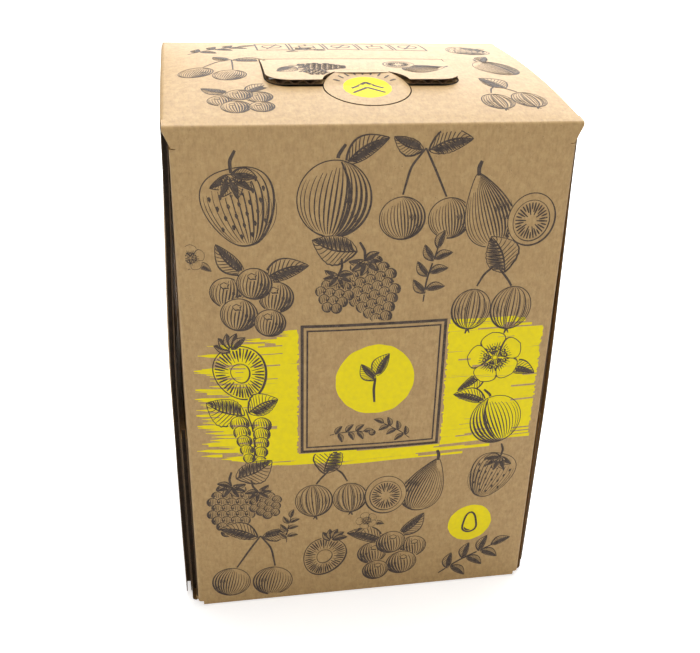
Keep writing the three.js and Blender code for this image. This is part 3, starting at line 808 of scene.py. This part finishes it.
def fruit(half_widths, heights, lines=11, tone=1.0):
    """A round fruit from its half widths at heights, top to bottom, hatched down its sides."""
    half = np.asarray(half_widths, float)
    up = np.asarray(heights, float)
    outline = np.concatenate([xy(-half, up), xy(half, up)[::-1]])
    strokes = [contour(outline)]
    spacing = 1.66 * half.max() / lines
    low = clamp((up.max() - up) / (up.max() - up.min()))
    for k in range(lines):
        t = 0.93 - 1.66 * (k + 0.5) / lines
        shade = clamp((t + 0.75) / 1.5) ** 1.1
        width = tone * spacing * (0.24 + 0.54 * shade) * (0.4 + 0.7 * low)
        ends = np.sin(math.pi * clamp(low, 0.03, 0.97)) ** 0.6
        first = int(len(up) * (0.04 + 0.3 * (1 - shade)))
        keep_last = int(len(up) * (0.98 - 0.12 * (1 - shade)))
        line = slice(first, keep_last)
        strokes.append((xy(t * half, up)[line], (width * ends)[line]))
    for t in (-0.9, -0.8):
        line = slice(int(len(up) * 0.35), int(len(up) * 0.85))
        strokes.append(pencil(xy(t * half, up)[line], 0.3))
    for k in range(6):
        row = arc_points(0, 0, 1, 1, -62 + 8 * k, 8 + 3 * k, 10)
        size = (half.max() * (1 - 0.13 * k), -up.min() * (0.98 - 0.14 * k))
        strokes.append(pencil(row * size * (1, 0.99 - 0.018 * k), 0.34 * tone))
    return [(outline, strokes)]


def ball(radius, squash=1.0, lines=11, tone=1.0, count=26):
    angle = down_turn(count)
    return fruit(radius * np.cos(angle), radius * squash * np.sin(angle), lines, tone)


def blade(x, top, low):
    """The outline of a leaf or petal between two edges that meet at both tips."""
    return np.concatenate([xy(x, top), xy(x, low)[::-1][1:-1]])


def leaf(length, width, teeth=0, tone=1.0):
    """A leaf that grows from the origin to the right, darker on its lower half."""
    share = np.linspace(0, 1, 25)
    half = width / 2 * np.sin(math.pi * share ** 0.85) ** 0.9
    half = half * (1 + teeth * 0.14 * np.abs(np.sin(share * 26)))
    bend = 0.10 * length * np.sin(math.pi * share)
    x = share * length
    outline = blade(x, bend + half, bend - half)
    strokes = [contour(outline, 0.45), pencil(xy(x, bend), 0.7, 0.9, 0.1)]
    veins = 9
    for k in range(veins):
        base = 0.06 + 0.84 * k / veins
        for side in (-1, 1):
            reach = np.linspace(0, 0.94, 7)
            s = clamp(base + 0.16 * reach)
            edge = np.interp(s, share, half)
            y = np.interp(s, share, bend) + side * reach * edge
            width_here = (0.85 if side < 0 else 0.36) * tone * length / 16
            strokes.append(pencil(xy(s * length, y), width_here, 0.8, 0.3))
            if side < 0:
                s2 = clamp(s + 0.42 / veins)
                y2 = np.interp(s2, share, bend) - reach * np.interp(s2, share, half)
                strokes.append(pencil(xy(s2 * length, y2)[1:], 0.5 * tone, 0.5, 0.3))
    return [(outline, strokes)]


def moved(shapes, x=0.0, y=0.0, angle=0.0, scale=1.0, flip=False):
    turn = math.radians(angle)
    matrix = scale * np.array([[math.cos(turn), -math.sin(turn)], [math.sin(turn), math.cos(turn)]])
    if flip:
        matrix = matrix @ np.array([[-1.0, 0], [0, 1]])

    def put(points):
        return points @ matrix.T + (x, y)

    return [(put(outline) if outline is not None else None,
             [(put(points), widths * scale) for points, widths in strokes])
            for outline, strokes in shapes]


def leaf_at(length, width, x, y, tilt, teeth=0):
    return moved(leaf(length, width, teeth), x, y, tilt)


def placed(places):
    """Drawings by their makers, each with its x, y, angle and scale, and True if it is mirrored."""
    return [moved(make(), *where) for make, *where in places]


def lines_only(*strokes):
    return [(None, list(strokes))]


def stalk(*knots, width=0.9):
    return lines_only(pencil(curve(*knots), width, 0.7, 0.7))


def cherries():
    drawing = leaf_at(17, 8, 3, 17, 8, 1) + leaf_at(12, 6, 1, 17.5, 150, 1)
    drawing += stalk((2, 18), (-4, 12), (-8, 1)) + stalk((2, 18), (5, 10), (9, -2))
    drawing += moved(ball(8.6, 0.95), -8.5, -7) + moved(ball(8.2, 0.96), 9.5, -9.5)
    return drawing


def strawberry():
    angle = down_turn(30)
    half = 11.5 * np.cos(angle) ** 0.8 * (1 + 0.28 * np.sin(angle))
    drawing = fruit(half, 13.5 * np.sin(angle), 10, 0.6)
    seeds = []
    for row in range(6):
        y = 8.5 - 3.7 * row
        reach = np.interp(-y, -13.5 * np.sin(angle), half) * 0.8
        for x in 3.6 * (np.arange(-3, 4) + 0.5 * (row % 2)):
            if abs(x) < reach:
                seeds.append(pencil([(x, y + 0.9), (x + 0.1, y), (x, y - 0.9)], 1.15, 0.5, 0.2))
    drawing += lines_only(*seeds)
    for tilt in (200, 232, 270, 308, 340):
        drawing += leaf_at(8.5, 4, 0, 11.5, tilt)
    return drawing + stalk((0, 12), (0.5, 16), (3, 19), width=1.2)


def berry_cluster(rows, radius=2.35):
    """A bramble fruit: rows of drupelets, widest near its top."""
    drawing = []
    for row, count in enumerate(rows):
        for k in range(count):
            x = (k - (count - 1) / 2) * radius * 1.72
            drawing += moved(ball(radius, 1.0, 5, 1.15, 12), x, 8.5 - row * radius * 1.45)
    for tilt in (165, 200, 240, 300, 340, 15):
        drawing += leaf_at(6.5, 2.8, 0, 10, tilt)
    return drawing + stalk((0, 10.5), (1, 14), (0, 18), width=1.1)


def bramble():
    drawing = leaf_at(18, 11, 1, 14, 160, 1)
    drawing += moved(berry_cluster((3, 4, 5, 4, 5, 4, 3, 2)), 6, 0, 12)
    return drawing + moved(berry_cluster((2, 3, 4, 3, 2)), -9, -4, -14, 0.9)


def blueberries():
    drawing = leaf_at(17, 8, 3, 7, 28) + leaf_at(15, 7, -4, 8, 140)
    for x, y, radius in ((-9, 0, 6), (8.5, 1, 6.2), (0, 5, 6.2), (-3.5, -8, 6.6), (8, -9.5, 5.6)):
        drawing += moved(ball(radius, 0.96, 8, 1.15), x, y)
        crown = arc_points(0, 0, 1.9, 1.5, 0, 360, 11)
        crown[::2] *= 0.6
        drawing += moved([(crown, [contour(crown, 0.4)])], x - 1.2, y + radius * 0.42)
    return drawing


def currants():
    drawing = leaf_at(17, 13, -1, 12, 150, 1) + leaf_at(14, 10, 1, 13, 20, 1)
    drawing += stalk((0, 15), (1.5, 4), (-1, -16), width=0.7)
    for row in range(6):
        for side in (-1, 1):
            x = side * (4.6 - 0.55 * row) + 0.8 - 0.3 * row
            drawing += moved(ball(3.9 - 0.36 * row, 1.0, 6, 1.0, 14), x, 7 - 4.6 * row - side * 1.1)
    return drawing + moved(ball(2.2, 1.1, 4, 1.0, 12), -1, -18.5)


def plum():
    drawing = leaf_at(16, 7, 2, 12, 38) + stalk((0, 10), (-1, 14), (1, 18), width=1.2)
    drawing += ball(12, 1.06, 12)
    cleft = curve((0.5, 12.3), (4.2, 6), (5, -3), (2.5, -12))
    return drawing + lines_only(pencil(cleft, 0.9, 0.5, 0.3))


def fig():
    angle = down_turn(30)
    swell = (1 - np.sin(angle)) / 2
    half = 11 * np.cos(angle) ** 1.1 * (0.32 + 0.85 * swell ** 0.8)
    whole = fruit(half, 15 * np.sin(angle) + 1, 12, 1.05)
    whole += stalk((0, 15), (0.8, 18), (2.5, 20), width=1.6)
    rim = arc_points(0, 0, 9.5, 10.5, 0, 360, 40)[:-1]
    flesh = arc_points(0, -0.5, 7.3, 8.2, 0, 360, 36)[:-1]
    half_fig = [(rim, [contour(rim)]), (flesh, [contour(flesh, 0.35)])]
    rays = []
    for k in range(30):
        way = toward(12 * k) * (7, 7.9)
        inner = 0.3 + 0.14 * (k % 3)
        ray = [way * s + (0, -0.5) for s in (inner, (inner + 0.92) / 2, 0.92)]
        rays.append(pencil(ray, 0.75, 0.4, 0.6))
    half_fig += lines_only(*rays)
    return moved(whole, -6, 0, 10) + moved(half_fig, 11, -6, -12)


def blossom():
    drawing = leaf_at(14, 6, 3, -5, -28) + leaf_at(13, 6, -4, -5, 205)
    for k in range(5):
        petal_share = np.linspace(0, 1, 15)
        half = 4.9 * np.sin(math.pi * petal_share ** 1.5) ** 0.7
        x = 1.5 + 9.5 * petal_share
        outline = blade(x, half, -half)
        strokes = [contour(outline, 0.45)]
        for t in (-0.6, -0.35, -0.12, 0.12, 0.35, 0.6):
            strokes.append(pencil(xy(x, t * half)[1:8], 0.4, 0.9, 0.1))
        drawing += moved([(outline, strokes)], 0, 0, 90 + 72 * k)
    for k in range(12):
        way = toward(30 * k)
        drawing += lines_only(pencil([0.8 * way, 4.2 * way], 0.35, 1, 1))
        drawing += moved(ball(0.75, 1, 2, 1, 8), *(4.2 * way))
    return drawing


def leaf_sprig():
    drawing = stalk((-16, -6), (-4, 0), (14, 5), width=1.0)
    for place in ((-11, -4, 72), (-9, -3, -52), (-2, 0.5, 66), (0, 1, -46), (7, 3, 60), (8, 3.2, -40),
                  (14, 5, 12)):
        drawing += leaf_at(11, 5, *place)
    return drawing


def gooseberries():
    drawing = leaf_at(16, 12, -2, 9, 60, 1)
    drawing += stalk((2, 12), (-4, 6), (-7, 2)) + stalk((2, 12), (6, 8), (8, 3))
    for x, y, radius in ((-7.5, -5.5, 8.2), (8.5, -6.5, 7.6)):
        drawing += moved(ball(radius, 1.08, 9, 0.62), x, y)
        ribs = [pencil(arc_points(x, y, radius * t, radius * 1.04, 80, -80, 14), 0.5)
                for t in (-0.72, -0.4, -0.1, 0.2)]
        foot = (x, y - radius * 1.05)
        drawing += lines_only(*ribs, pencil([foot, (x + 0.6, y - radius * 1.35)], 1.3, 1, 0.3),
                              pencil([foot, (x - 1.1, y - radius * 1.3)], 0.9, 1, 0.3))
    return drawing


def berry_slice():
    """A strawberry half: rim, pale core and short rays."""
    angle = full_turn(44)
    reach = 1 + 0.13 * np.sin(angle)
    rim = xy(9.6 * np.cos(angle) * reach, 11.6 * np.sin(angle))
    core = rim * 0.36
    strokes = [contour(rim, 0.6)]
    for k in range(44):
        inner = 0.44 + 0.12 * (k % 2)
        ray = [rim[k] * share for share in (inner, 0.7, 0.93)]
        strokes.append(pencil(ray, 0.75 if k % 4 else 0.4, 0.3, 0.8))
    drawing = [(rim, strokes), (core, [contour(core, 0.4)])]
    for tilt in (150, 120, 90, 60, 30):
        drawing += leaf_at(7, 3.2, 0, 10.5, tilt)
    return drawing


# Turning drawings into thin raised ribbons of ink

def inside_polygon(points, polygon):
    x, y = points[:, 0:1], points[:, 1:2]
    x0, y0 = polygon[:, 0][None], polygon[:, 1][None]
    x1, y1 = np.roll(x0, -1, axis=1), np.roll(y0, -1, axis=1)
    crosses = (y0 > y) != (y1 > y)
    slope = np.where(y1 == y0, 1e-9, y1 - y0)
    return ((crosses & (x < (x1 - x0) * (y - y0) / slope + x0)).sum(axis=1) % 2) == 1


def resampled(points, widths, step):
    length = np.concatenate([[0], np.cumsum(np.linalg.norm(np.diff(points, axis=0), axis=1))])
    count = max(2, int(math.ceil(length[-1] / step)) + 1)
    at = np.linspace(0, length[-1], count)
    return (np.column_stack([np.interp(at, length, points[:, k]) for k in (0, 1)]),
            np.interp(at, length, widths))


def clipped(points, widths, allowed):
    """The runs of a stroke that may be printed."""
    mask = allowed(points)
    runs, start = [], None
    for k, seen in enumerate(np.append(mask, False)):
        if seen and start is None:
            start = k
        elif not seen and start is not None:
            if k - start > 1:
                runs.append((points[start:k], widths[start:k]))
            start = None
    return runs


def visible_strokes(drawings, allowed, step=1.2):
    """Every stroke of the drawings, cut where a later shape or the panel's limits hide it."""
    shapes = [shape for drawing in drawings for shape in drawing]
    boxes = [(outline.min(axis=0), outline.max(axis=0)) if outline is not None else None
             for outline, _ in shapes]
    strokes = []
    for order, (outline, lines) in enumerate(shapes):
        for points, widths in lines:
            points, widths = resampled(points, widths, step)
            low, high = points.min(axis=0), points.max(axis=0)
            over = [shapes[k][0] for k in range(order + 1, len(shapes)) if boxes[k] is not None
                    and (boxes[k][0] < high).all() and (boxes[k][1] > low).all()]

            def free(place):
                seen = allowed(place)
                for polygon in over:
                    seen &= ~inside_polygon(place, polygon)
                return seen

            strokes += clipped(points, widths, free)
    return strokes


INK_DEPTH = 0.45


def ribbons(strokes, surface, proud=0.055, spread=0.0015):
    """Closed strips along the strokes, just above the board and sunk into it along their middle."""
    parts = []
    for order, (points, widths) in enumerate(strokes):
        tangent = np.gradient(points, axis=0)
        tangent /= np.maximum(np.linalg.norm(tangent, axis=1, keepdims=True), 1e-9)
        normal = xy(-tangent[:, 1], tangent[:, 0])
        half = np.maximum(widths, 0.08)[:, None] / 2
        height = proud + spread * (order % 11)
        left = surface(*(points + half * normal).T, height)
        right = surface(*(points - half * normal).T, height)
        low = surface(*points.T, -INK_DEPTH)
        count = len(points)
        a = np.arange(count - 1)
        b = a + 1
        l, r, m = 0, count, 2 * count
        triangles = [np.stack(corner, -1) for corner in (
            (l + a, r + a, r + b), (l + a, r + b, l + b),
            (r + a, m + a, m + b), (r + a, m + b, r + b),
            (m + a, l + a, l + b), (m + a, l + b, m + b))]
        caps = np.array([[l, m, r], [l + count - 1, r + count - 1, m + count - 1]])
        parts.append((np.concatenate([left, right, low]), np.concatenate(triangles + [caps])))
    return merged(parts)


def front_surface(x, z, proud):
    y = FRONT - front_push(x, z) - proud
    return grid_of(x, y, z)


def top_surface(x, y, proud):
    return grid_of(x, y, HEIGHT + top_push(x, y) + proud)


def flap_surface(x, y, proud):
    return top_surface(x, y, proud + flap_lift(x, y))


def disc_surface(x, y, proud):
    return top_surface(x, y, proud + disc_lift(x, y))


def blot(surface, cx, cy, radius, rough, seed, proud=0.045):
    """A round patch of ink with an uneven rim."""
    rng = np.random.default_rng(seed)
    angle = full_turn(120)
    ripple = sum(rng.uniform(0.3, 1) / k ** 0.6 * np.sin(k * angle + rng.uniform(0, 6.3))
                 for k in range(2, 22))
    rim = radius * (1 + rough * ripple)
    shares = np.array([0.001, 0.25, 0.5, 0.75, 0.93, 1.0])[:, None]
    x, y = cx + shares * rim * np.cos(angle), cy + shares * rim * np.sin(angle)
    return sheet(surface(x, y, proud), surface(x, y, -INK_DEPTH), ring=True)


def rectangle_line(x0, x1, y0, y1, width, step=3.0):
    """Four strokes that meet in square corners."""
    half = width / 2
    sides = [((x0 - half, y0), (x1 + half, y0)), ((x1, y0 + half), (x1, y1 - half)),
             ((x1 + half, y1), (x0 - half, y1)), ((x0, y1 - half), (x0, y0 + half))]
    strokes = []
    for start, end in sides:
        count = max(2, int(math.hypot(end[0] - start[0], end[1] - start[1]) / step) + 1)
        share = np.linspace(0, 1, count)[:, None]
        strokes.append((mix(np.array(start), np.array(end), share), np.full(count, width)))
    return strokes


def within(points, x0, x1, y0, y1):
    x, y = points[:, 0], points[:, 1]
    return (x > x0) & (x < x1) & (y > y0) & (y < y1)


# The front: label, badge, brushed yellow band and scattered fruit

LABEL = (-33.3, 33.3, 93.5, 161.5)
BADGE = (54.5, 40.5, 11.6)
BAND_LOW, BAND_HIGH = 88.0, 156.0


def on_front(points):
    seen = within(points, -WALL_HALF + 1.2, WALL_HALF - 1.2, 4, HEIGHT - 3)
    return seen & ~within(points, LABEL[0] - 0.6, LABEL[1] + 0.6, LABEL[2] - 0.6, LABEL[3] + 0.6)


def front_drawings():
    return placed([
        (strawberry, -58, 216, 12, 1.25), (plum, -19, 219, -8, 1.3),
        (cherries, 19, 219, 6, 1.15), (fig, 55, 212, 8, 1.16),
        (blueberries, -54, 176, -10, 1.2), (bramble, -9, 180, 4, 1.12),
        (leaf_sprig, 24, 184, 58, 0.8), (gooseberries, 55, 172, -6, 1.2, True),
        (berry_slice, -60, 138, 15, 1.2), (currants, -56, 103, 8, 1.08),
        (blossom, 58, 139, 10, 1.25), (plum, 62, 104, 20, 1.08, True),
        (bramble, -60, 65, 10, 1.1, True), (gooseberries, -19, 71, 5, 1.1),
        (fig, 22, 69, -10, 1.1, True), (strawberry, 63, 70, -20, 1.0, True),
        (cherries, -55, 23, -12, 1.15, True), (berry_slice, -21, 27, -20, 1.1),
        (blueberries, 14, 27, 8, 1.2, True), (leaf_sprig, 55, 16, 10, 1.0),
        (blossom, -79, 194, 0, 0.55), (leaf_sprig, -39, 47, 62, 0.5),
        (blossom, 0, 49, 18, 0.5),
    ])


def brushed_band():
    """Long dry brush strokes side by side, ragged at the left end and along the edges."""
    rng = np.random.default_rng(5)
    strokes = []
    z = BAND_LOW - 3
    while z < BAND_HIGH + 3:
        edge = min(z - BAND_LOW, BAND_HIGH - z)
        start = mix(-83, -62, rng.uniform() ** 1.5) + 12 * clamp((4 - edge) / 7)
        if z > 142:
            start += rng.uniform(0, 14)
        end = WALL_HALF
        breaks = []
        if edge < 3:
            start += rng.uniform(0, 45)
            end -= rng.uniform(0, 70) if z < 120 else rng.uniform(0, 25)
        for _ in range(2 if edge < 8 else 1):
            if rng.uniform() < 0.55:
                middle = rng.uniform(-80, -45) if rng.uniform() < 0.6 else rng.uniform(40, 80)
                breaks.append((middle, rng.uniform(3, 12)))
        x = np.arange(start, end + 1.2, 1.2)
        drift = 1.2 * np.sin(x / 37 + 0.4) + 0.8 * np.sin(x / 61 + 2)
        width = 1.25 + 0.35 * rng.uniform(-1, 1) + 0.3 * np.sin(x / 9 + rng.uniform(0, 6))
        width = width * clamp((x - start) / 5, 0.25, 1) * clamp((end - x) / 5 + 1, 0.25, 1)
        seen = np.ones(len(x), bool)
        for middle, reach in breaks:
            seen &= np.abs(x - middle) > reach / 2
        points = xy(x, z + drift)
        runs = clipped(points, width, lambda place, seen=seen: seen & on_front(place))
        strokes += [run for run in runs if len(run[0]) > 5]
        z += 0.98
    return strokes


def label_strokes():
    x0, x1, z0, z1 = LABEL
    strokes = rectangle_line(x0 + 0.7, x1 - 0.7, z0 + 0.7, z1 - 0.7, 1.4)
    strokes += rectangle_line(x0 + 3.0, x1 - 3.0, z0 + 3.0, z1 - 3.0, 0.8)
    emblem = leaf_at(13, 7, 1, 134, 62) + leaf_at(11, 6, 1, 132, 128)
    emblem += stalk((1, 120), (0.4, 127), (1, 133), width=1.3)
    flourish = moved(leaf_sprig(), -11, 103.5, -16, 0.5)
    flourish += moved(leaf_sprig(), 12, 103.5, -16, 0.5, True)
    flourish += moved(ball(1.5, 1, 4, 1.2, 10), 0.5, 103)
    inside = lambda points: within(points, x0, x1, z0, z1)
    return strokes + visible_strokes([emblem, flourish], inside, 0.7)


def drop_outline(cx, cy, size):
    angle = full_turn(48)
    pinch = 0.5 * (1 + np.cos(angle))
    radius = size * (0.62 + 0.55 * pinch ** 6)
    return xy(cx + radius * np.sin(angle) * (1 - 0.35 * pinch), cy + radius * np.cos(angle))


def make_front_print():
    x, z, radius = BADGE

    def allowed(points):
        return on_front(points) & (np.hypot(points[:, 0] - x, points[:, 1] - z) > radius + 0.5)

    drop = drop_outline(x, z - 1.5, 7.2)
    ink = visible_strokes(front_drawings(), allowed) + label_strokes()
    ink.append((np.concatenate([drop, drop[:1]]), np.full(len(drop) + 1, 1.1)))
    ink.append(pencil(arc_points(x, z - 2, 2.8, 2.8, 190, 280, 9), 1.0))
    keep_ink("front_ink", ribbons(ink, front_surface), dark_ink, BODY)
    yellow = [ribbons(brushed_band(), front_surface, 0.014, 0.0022),
              blot(front_surface, 1, 132, 18.3, 0.012, 3, 0.03),
              blot(front_surface, *BADGE, 0.011, 8, 0.03)]
    keep_ink("front_yellow", merged([as_triangles(part) for part in yellow]), yellow_ink, BODY)


def as_triangles(part):
    points, faces = part
    if faces.shape[1] == 4:
        faces = np.concatenate([faces[:, [0, 1, 2]], faces[:, [0, 2, 3]]])
    return points, faces


# The top: fruit around the flap, a strip of plain pictograms behind it, the patch on the disc

def off_cut(points, gap):
    """Whether points keep clear of the flap's cut lines."""
    near = np.abs(np.hypot(points[:, 0], points[:, 1] - DISC_Y) - DISC_RADIUS) < gap
    near &= points[:, 1] > DISC_Y - DISC_RADIUS - gap
    x, y = np.abs(points[:, 0]), points[:, 1]
    side = (np.abs(x - FLAP_HALF) < gap) & (y > FREE_EDGE - gap) & (y < HINGE + gap)
    front = (np.abs(y - FREE_EDGE) < gap) & (x < FLAP_HALF + gap)
    return ~(near | side | front)


def in_disc(points):
    return np.hypot(points[:, 0], points[:, 1] - DISC_Y) < DISC_RADIUS


def in_flap(points):
    return within(points, -FLAP_HALF, FLAP_HALF, FREE_EDGE, HINGE) & ~in_disc(points)


def on_top(points):
    seen = within(points, -TOP_HALF + 1, TOP_HALF - 1, FRONT + 3, BACK - 3)
    return seen & off_cut(points, 0.9)


def top_drawings():
    return placed([
        (blueberries, -55, -49, 6, 0.92), (cherries, -63, -8, -20, 0.9),
        (leaf_sprig, -62, 34, 12, 0.9), (gooseberries, 62, -46, 8, 0.95, True),
        (plum, 67, -6, 30, 0.9), (strawberry, 62, 32, -40, 0.9),
        (bramble, -20, -17, 70, 0.72), (fig, 27, -14, -60, 0.72, True),
        (blossom, -20, 30, 5, 0.62),
    ])


def pictogram_strip():
    """Outlined boxes in a row, each with a simple sign."""
    strokes = []
    boxes = np.linspace(-43, 42, 6)
    y0, y1 = FRONT + 101, FRONT + 124
    for k, (x0, x1) in enumerate(zip(boxes[:-1], boxes[1:])):
        x0, x1 = x0 + 0.8, x1 - 0.8
        strokes += rectangle_line(x0, x1, y0, y1, 0.8)
        cx, cy = (x0 + x1) / 2, (y0 + y1) / 2
        if k % 2:
            strokes += rectangle_line(cx - 3.5, cx + 3.5, cy - 5.5, cy + 2.5, 0.8)
            strokes.append(pencil([(cx, cy + 8), (cx, cy + 4)], 1.2, 1, 1))
        else:
            strokes.append((arc_points(cx, cy, 4.6, 5.6, 0, 360, 25), np.full(25, 0.8)))
            strokes.append(pencil([(cx - 3, cy - 8), (cx, cy - 1), (cx + 3, cy + 8)], 1.0, 1, 1))
    return strokes


def make_top_print():
    drawings = top_drawings()
    fixed = visible_strokes(drawings, lambda p: on_top(p) & ~in_disc(p) & ~in_flap(p))
    keep_ink("top_ink", ribbons(fixed + pictogram_strip(), top_surface), dark_ink, BODY)
    riding = visible_strokes(drawings, lambda p: on_top(p) & in_flap(p))
    on_disc = []
    for rise in (0, -5):
        chevron = [(-7, DISC_Y - 1 + rise), (0, DISC_Y + 5 + rise), (7, DISC_Y - 1 + rise)]
        on_disc.append(resampled(*pencil(chevron, 1.6, 0.8, 0.8), 1.0))
    for tilt in np.linspace(28, 152, 9):
        ray = [toward(tilt) * r + (0, DISC_Y) for r in (12.6, 14, 15.6)]
        on_disc.append(pencil(ray, 1.0, 0.7, 0.7))
    ink = [ribbons(riding, flap_surface), ribbons(on_disc, disc_surface, 0.07)]
    keep_ink("flap_ink", merged(ink), dark_ink, FLAP_BODY)
    patch = blot(disc_surface, 0, DISC_Y - 0.5, 10.6, 0.014, 12, 0.035)
    keep_ink("flap_yellow", patch, yellow_ink, FLAP_BODY)


make_front_print()
make_top_print()


# The filled bag: wrinkled film, sunk into a well around the tap

def roundel(half_x, half_y, corner, steps=8):
    """A rectangle with round corners."""
    points = []
    for k, (sx, sy) in enumerate(((1, -1), (1, 1), (-1, 1), (-1, -1))):
        for angle in np.linspace(0, math.pi / 2, steps + 1) + (k - 1) * math.pi / 2:
            points.append((sx * (half_x - corner) + corner * math.cos(angle),
                           sy * (half_y - corner) + corner * math.sin(angle)))
    return np.array(points)


def cube_grid(steps):
    """The faces of a cube from -1 to 1, each a grid of quads."""
    line = np.linspace(-1, 1, steps + 1)
    ids = np.arange((steps + 1) ** 2).reshape(steps + 1, steps + 1)
    cell = np.stack([ids[:-1, :-1], ids[1:, :-1], ids[1:, 1:], ids[:-1, 1:]], -1).reshape(-1, 4)
    parts = []
    for axis in range(3):
        for end in (-1, 1):
            cube = np.empty(ids.shape + (3,))
            cube[..., axis] = end
            cube[..., (axis + 1) % 3] = line[:, None]
            cube[..., (axis + 2) % 3] = line[None, :]
            parts.append((cube.reshape(-1, 3), cell if end > 0 else cell[:, ::-1]))
    return merged(parts)


def make_bag():
    half = np.array([*BAG_HALF, (HEIGHT - BOARD - 1 - BAG_FOOT) / 2])
    cube, quads = cube_grid(BAG_STEPS)
    outer = np.sign(cube) * np.sqrt(np.abs(cube)) * half
    inner = clamp(outer, BAG_CORNER - half, half - BAG_CORNER)
    away = outer - inner
    away /= np.maximum(np.linalg.norm(away, axis=1, keepdims=True), 1e-9)
    x, y, z = (inner + BAG_CORNER * away).T
    swell = hump(z + half[2], 2 * half[2])
    skin = np.column_stack([
        x + x / half[0] * 0.8 * SIDE_BULGE * swell * clamp(1 - (y / half[1]) ** 2),
        y + y / half[1] * 1.35 * WALL_BULGE * swell * clamp(1 - (x / half[0]) ** 2),
        z + half[2] + BAG_FOOT + 0.95 * top_dome(x, y) * clamp(z / half[2]) ** 2])
    x, y, z = skin.T
    crease = (np.abs(np.sin(x / 6.1 + 1.3 * np.sin(y / 13) + z / 41))
              + 0.7 * np.abs(np.sin(y / 5.3 + 1.1 * np.sin(x / 17 + z / 23))))
    made = solid_object("bag_film_skin", (skin - away * (0.8 * crease)[:, None], quads), film)
    made.modifiers.new("weld", "WELD").merge_threshold = 0.00002
    well = cutter("well", roundel(*WELL_HALF, WELL_CORNER) + (0, WELL_Y), WELL_FLOOR, HEIGHT + 30)
    cut_by(made, [well])
    remove([well])
    keep(made, BODY, ("juice_bag",))


make_bag()


# Floor, light and camera

def make_floor():
    size = 4000.0
    corners = np.array([(-size, -size, 0), (size, -size, 0), (size, size, 0), (-size, size, 0)])
    material, tree, shader = new_material("floor")
    seen = add_node(tree, "LightPath", {})["Is Camera Ray"]
    feed(tree, shader, {"Base Color": (0.92, 0.92, 0.92, 1), "Roughness": 0.9,
                        "Emission Color": WHITE,
                        "Emission Strength": reckon(tree, "MULTIPLY", seen, FLOOR_GLOW)})
    floor = solid_object("floor", (corners, np.array([[0, 1, 2, 3]])), material, False)
    floor.location.z = -0.0002


def make_world():
    world = bpy.data.worlds.new("studio")
    bpy.context.scene.world = world
    world.use_nodes = True
    tree = world.node_tree
    rays = add_node(tree, "LightPath", {})
    seen = reckon(tree, "MAXIMUM", rays["Is Camera Ray"], rays["Is Glossy Ray"])
    strength = add_node(tree, "MapRange", {"Value": seen, "To Min": WORLD_FILL, "To Max": 1.0})
    feed(tree, tree.nodes["Background"], {"Strength": strength["Result"], "Color": WHITE})


def area_light(name, place, aim, size, power):
    light = bpy.data.lights.new(name, "AREA")
    light.size = size
    light.energy = power
    made = linked(name, light)
    made.location = place
    x, y, z = np.array(aim, float) - place
    made.rotation_euler = (math.atan2(math.hypot(x, y), -z), 0, math.atan2(y, x) - math.pi / 2)


def make_camera():
    data = bpy.data.cameras.new("camera")
    data.lens = CAMERA_LENS
    data.sensor_width = CAMERA_SENSOR
    data.shift_x, data.shift_y = CAMERA_SHIFT
    data.clip_start = 0.01
    camera = linked("camera", data)
    camera.location = [value * MM for value in CAMERA_PLACE]
    camera.rotation_euler = [math.radians(value) for value in CAMERA_TURN]
    bpy.context.scene.camera = camera


make_floor()
make_world()
area_light("overhead", (0.1, 0.35, 1.35), (0, 0, 0.2), 0.9, 15)
area_light("behind", (0.3, 1.3, 0.85), (0, 0, 0.22), 1.0, 18)
area_light("fill", (-0.3, -1.3, 0.55), (0, -0.07, 0.08), 1.2, 2.8)
make_camera()
bpy.context.scene.view_settings.view_transform = "Standard"
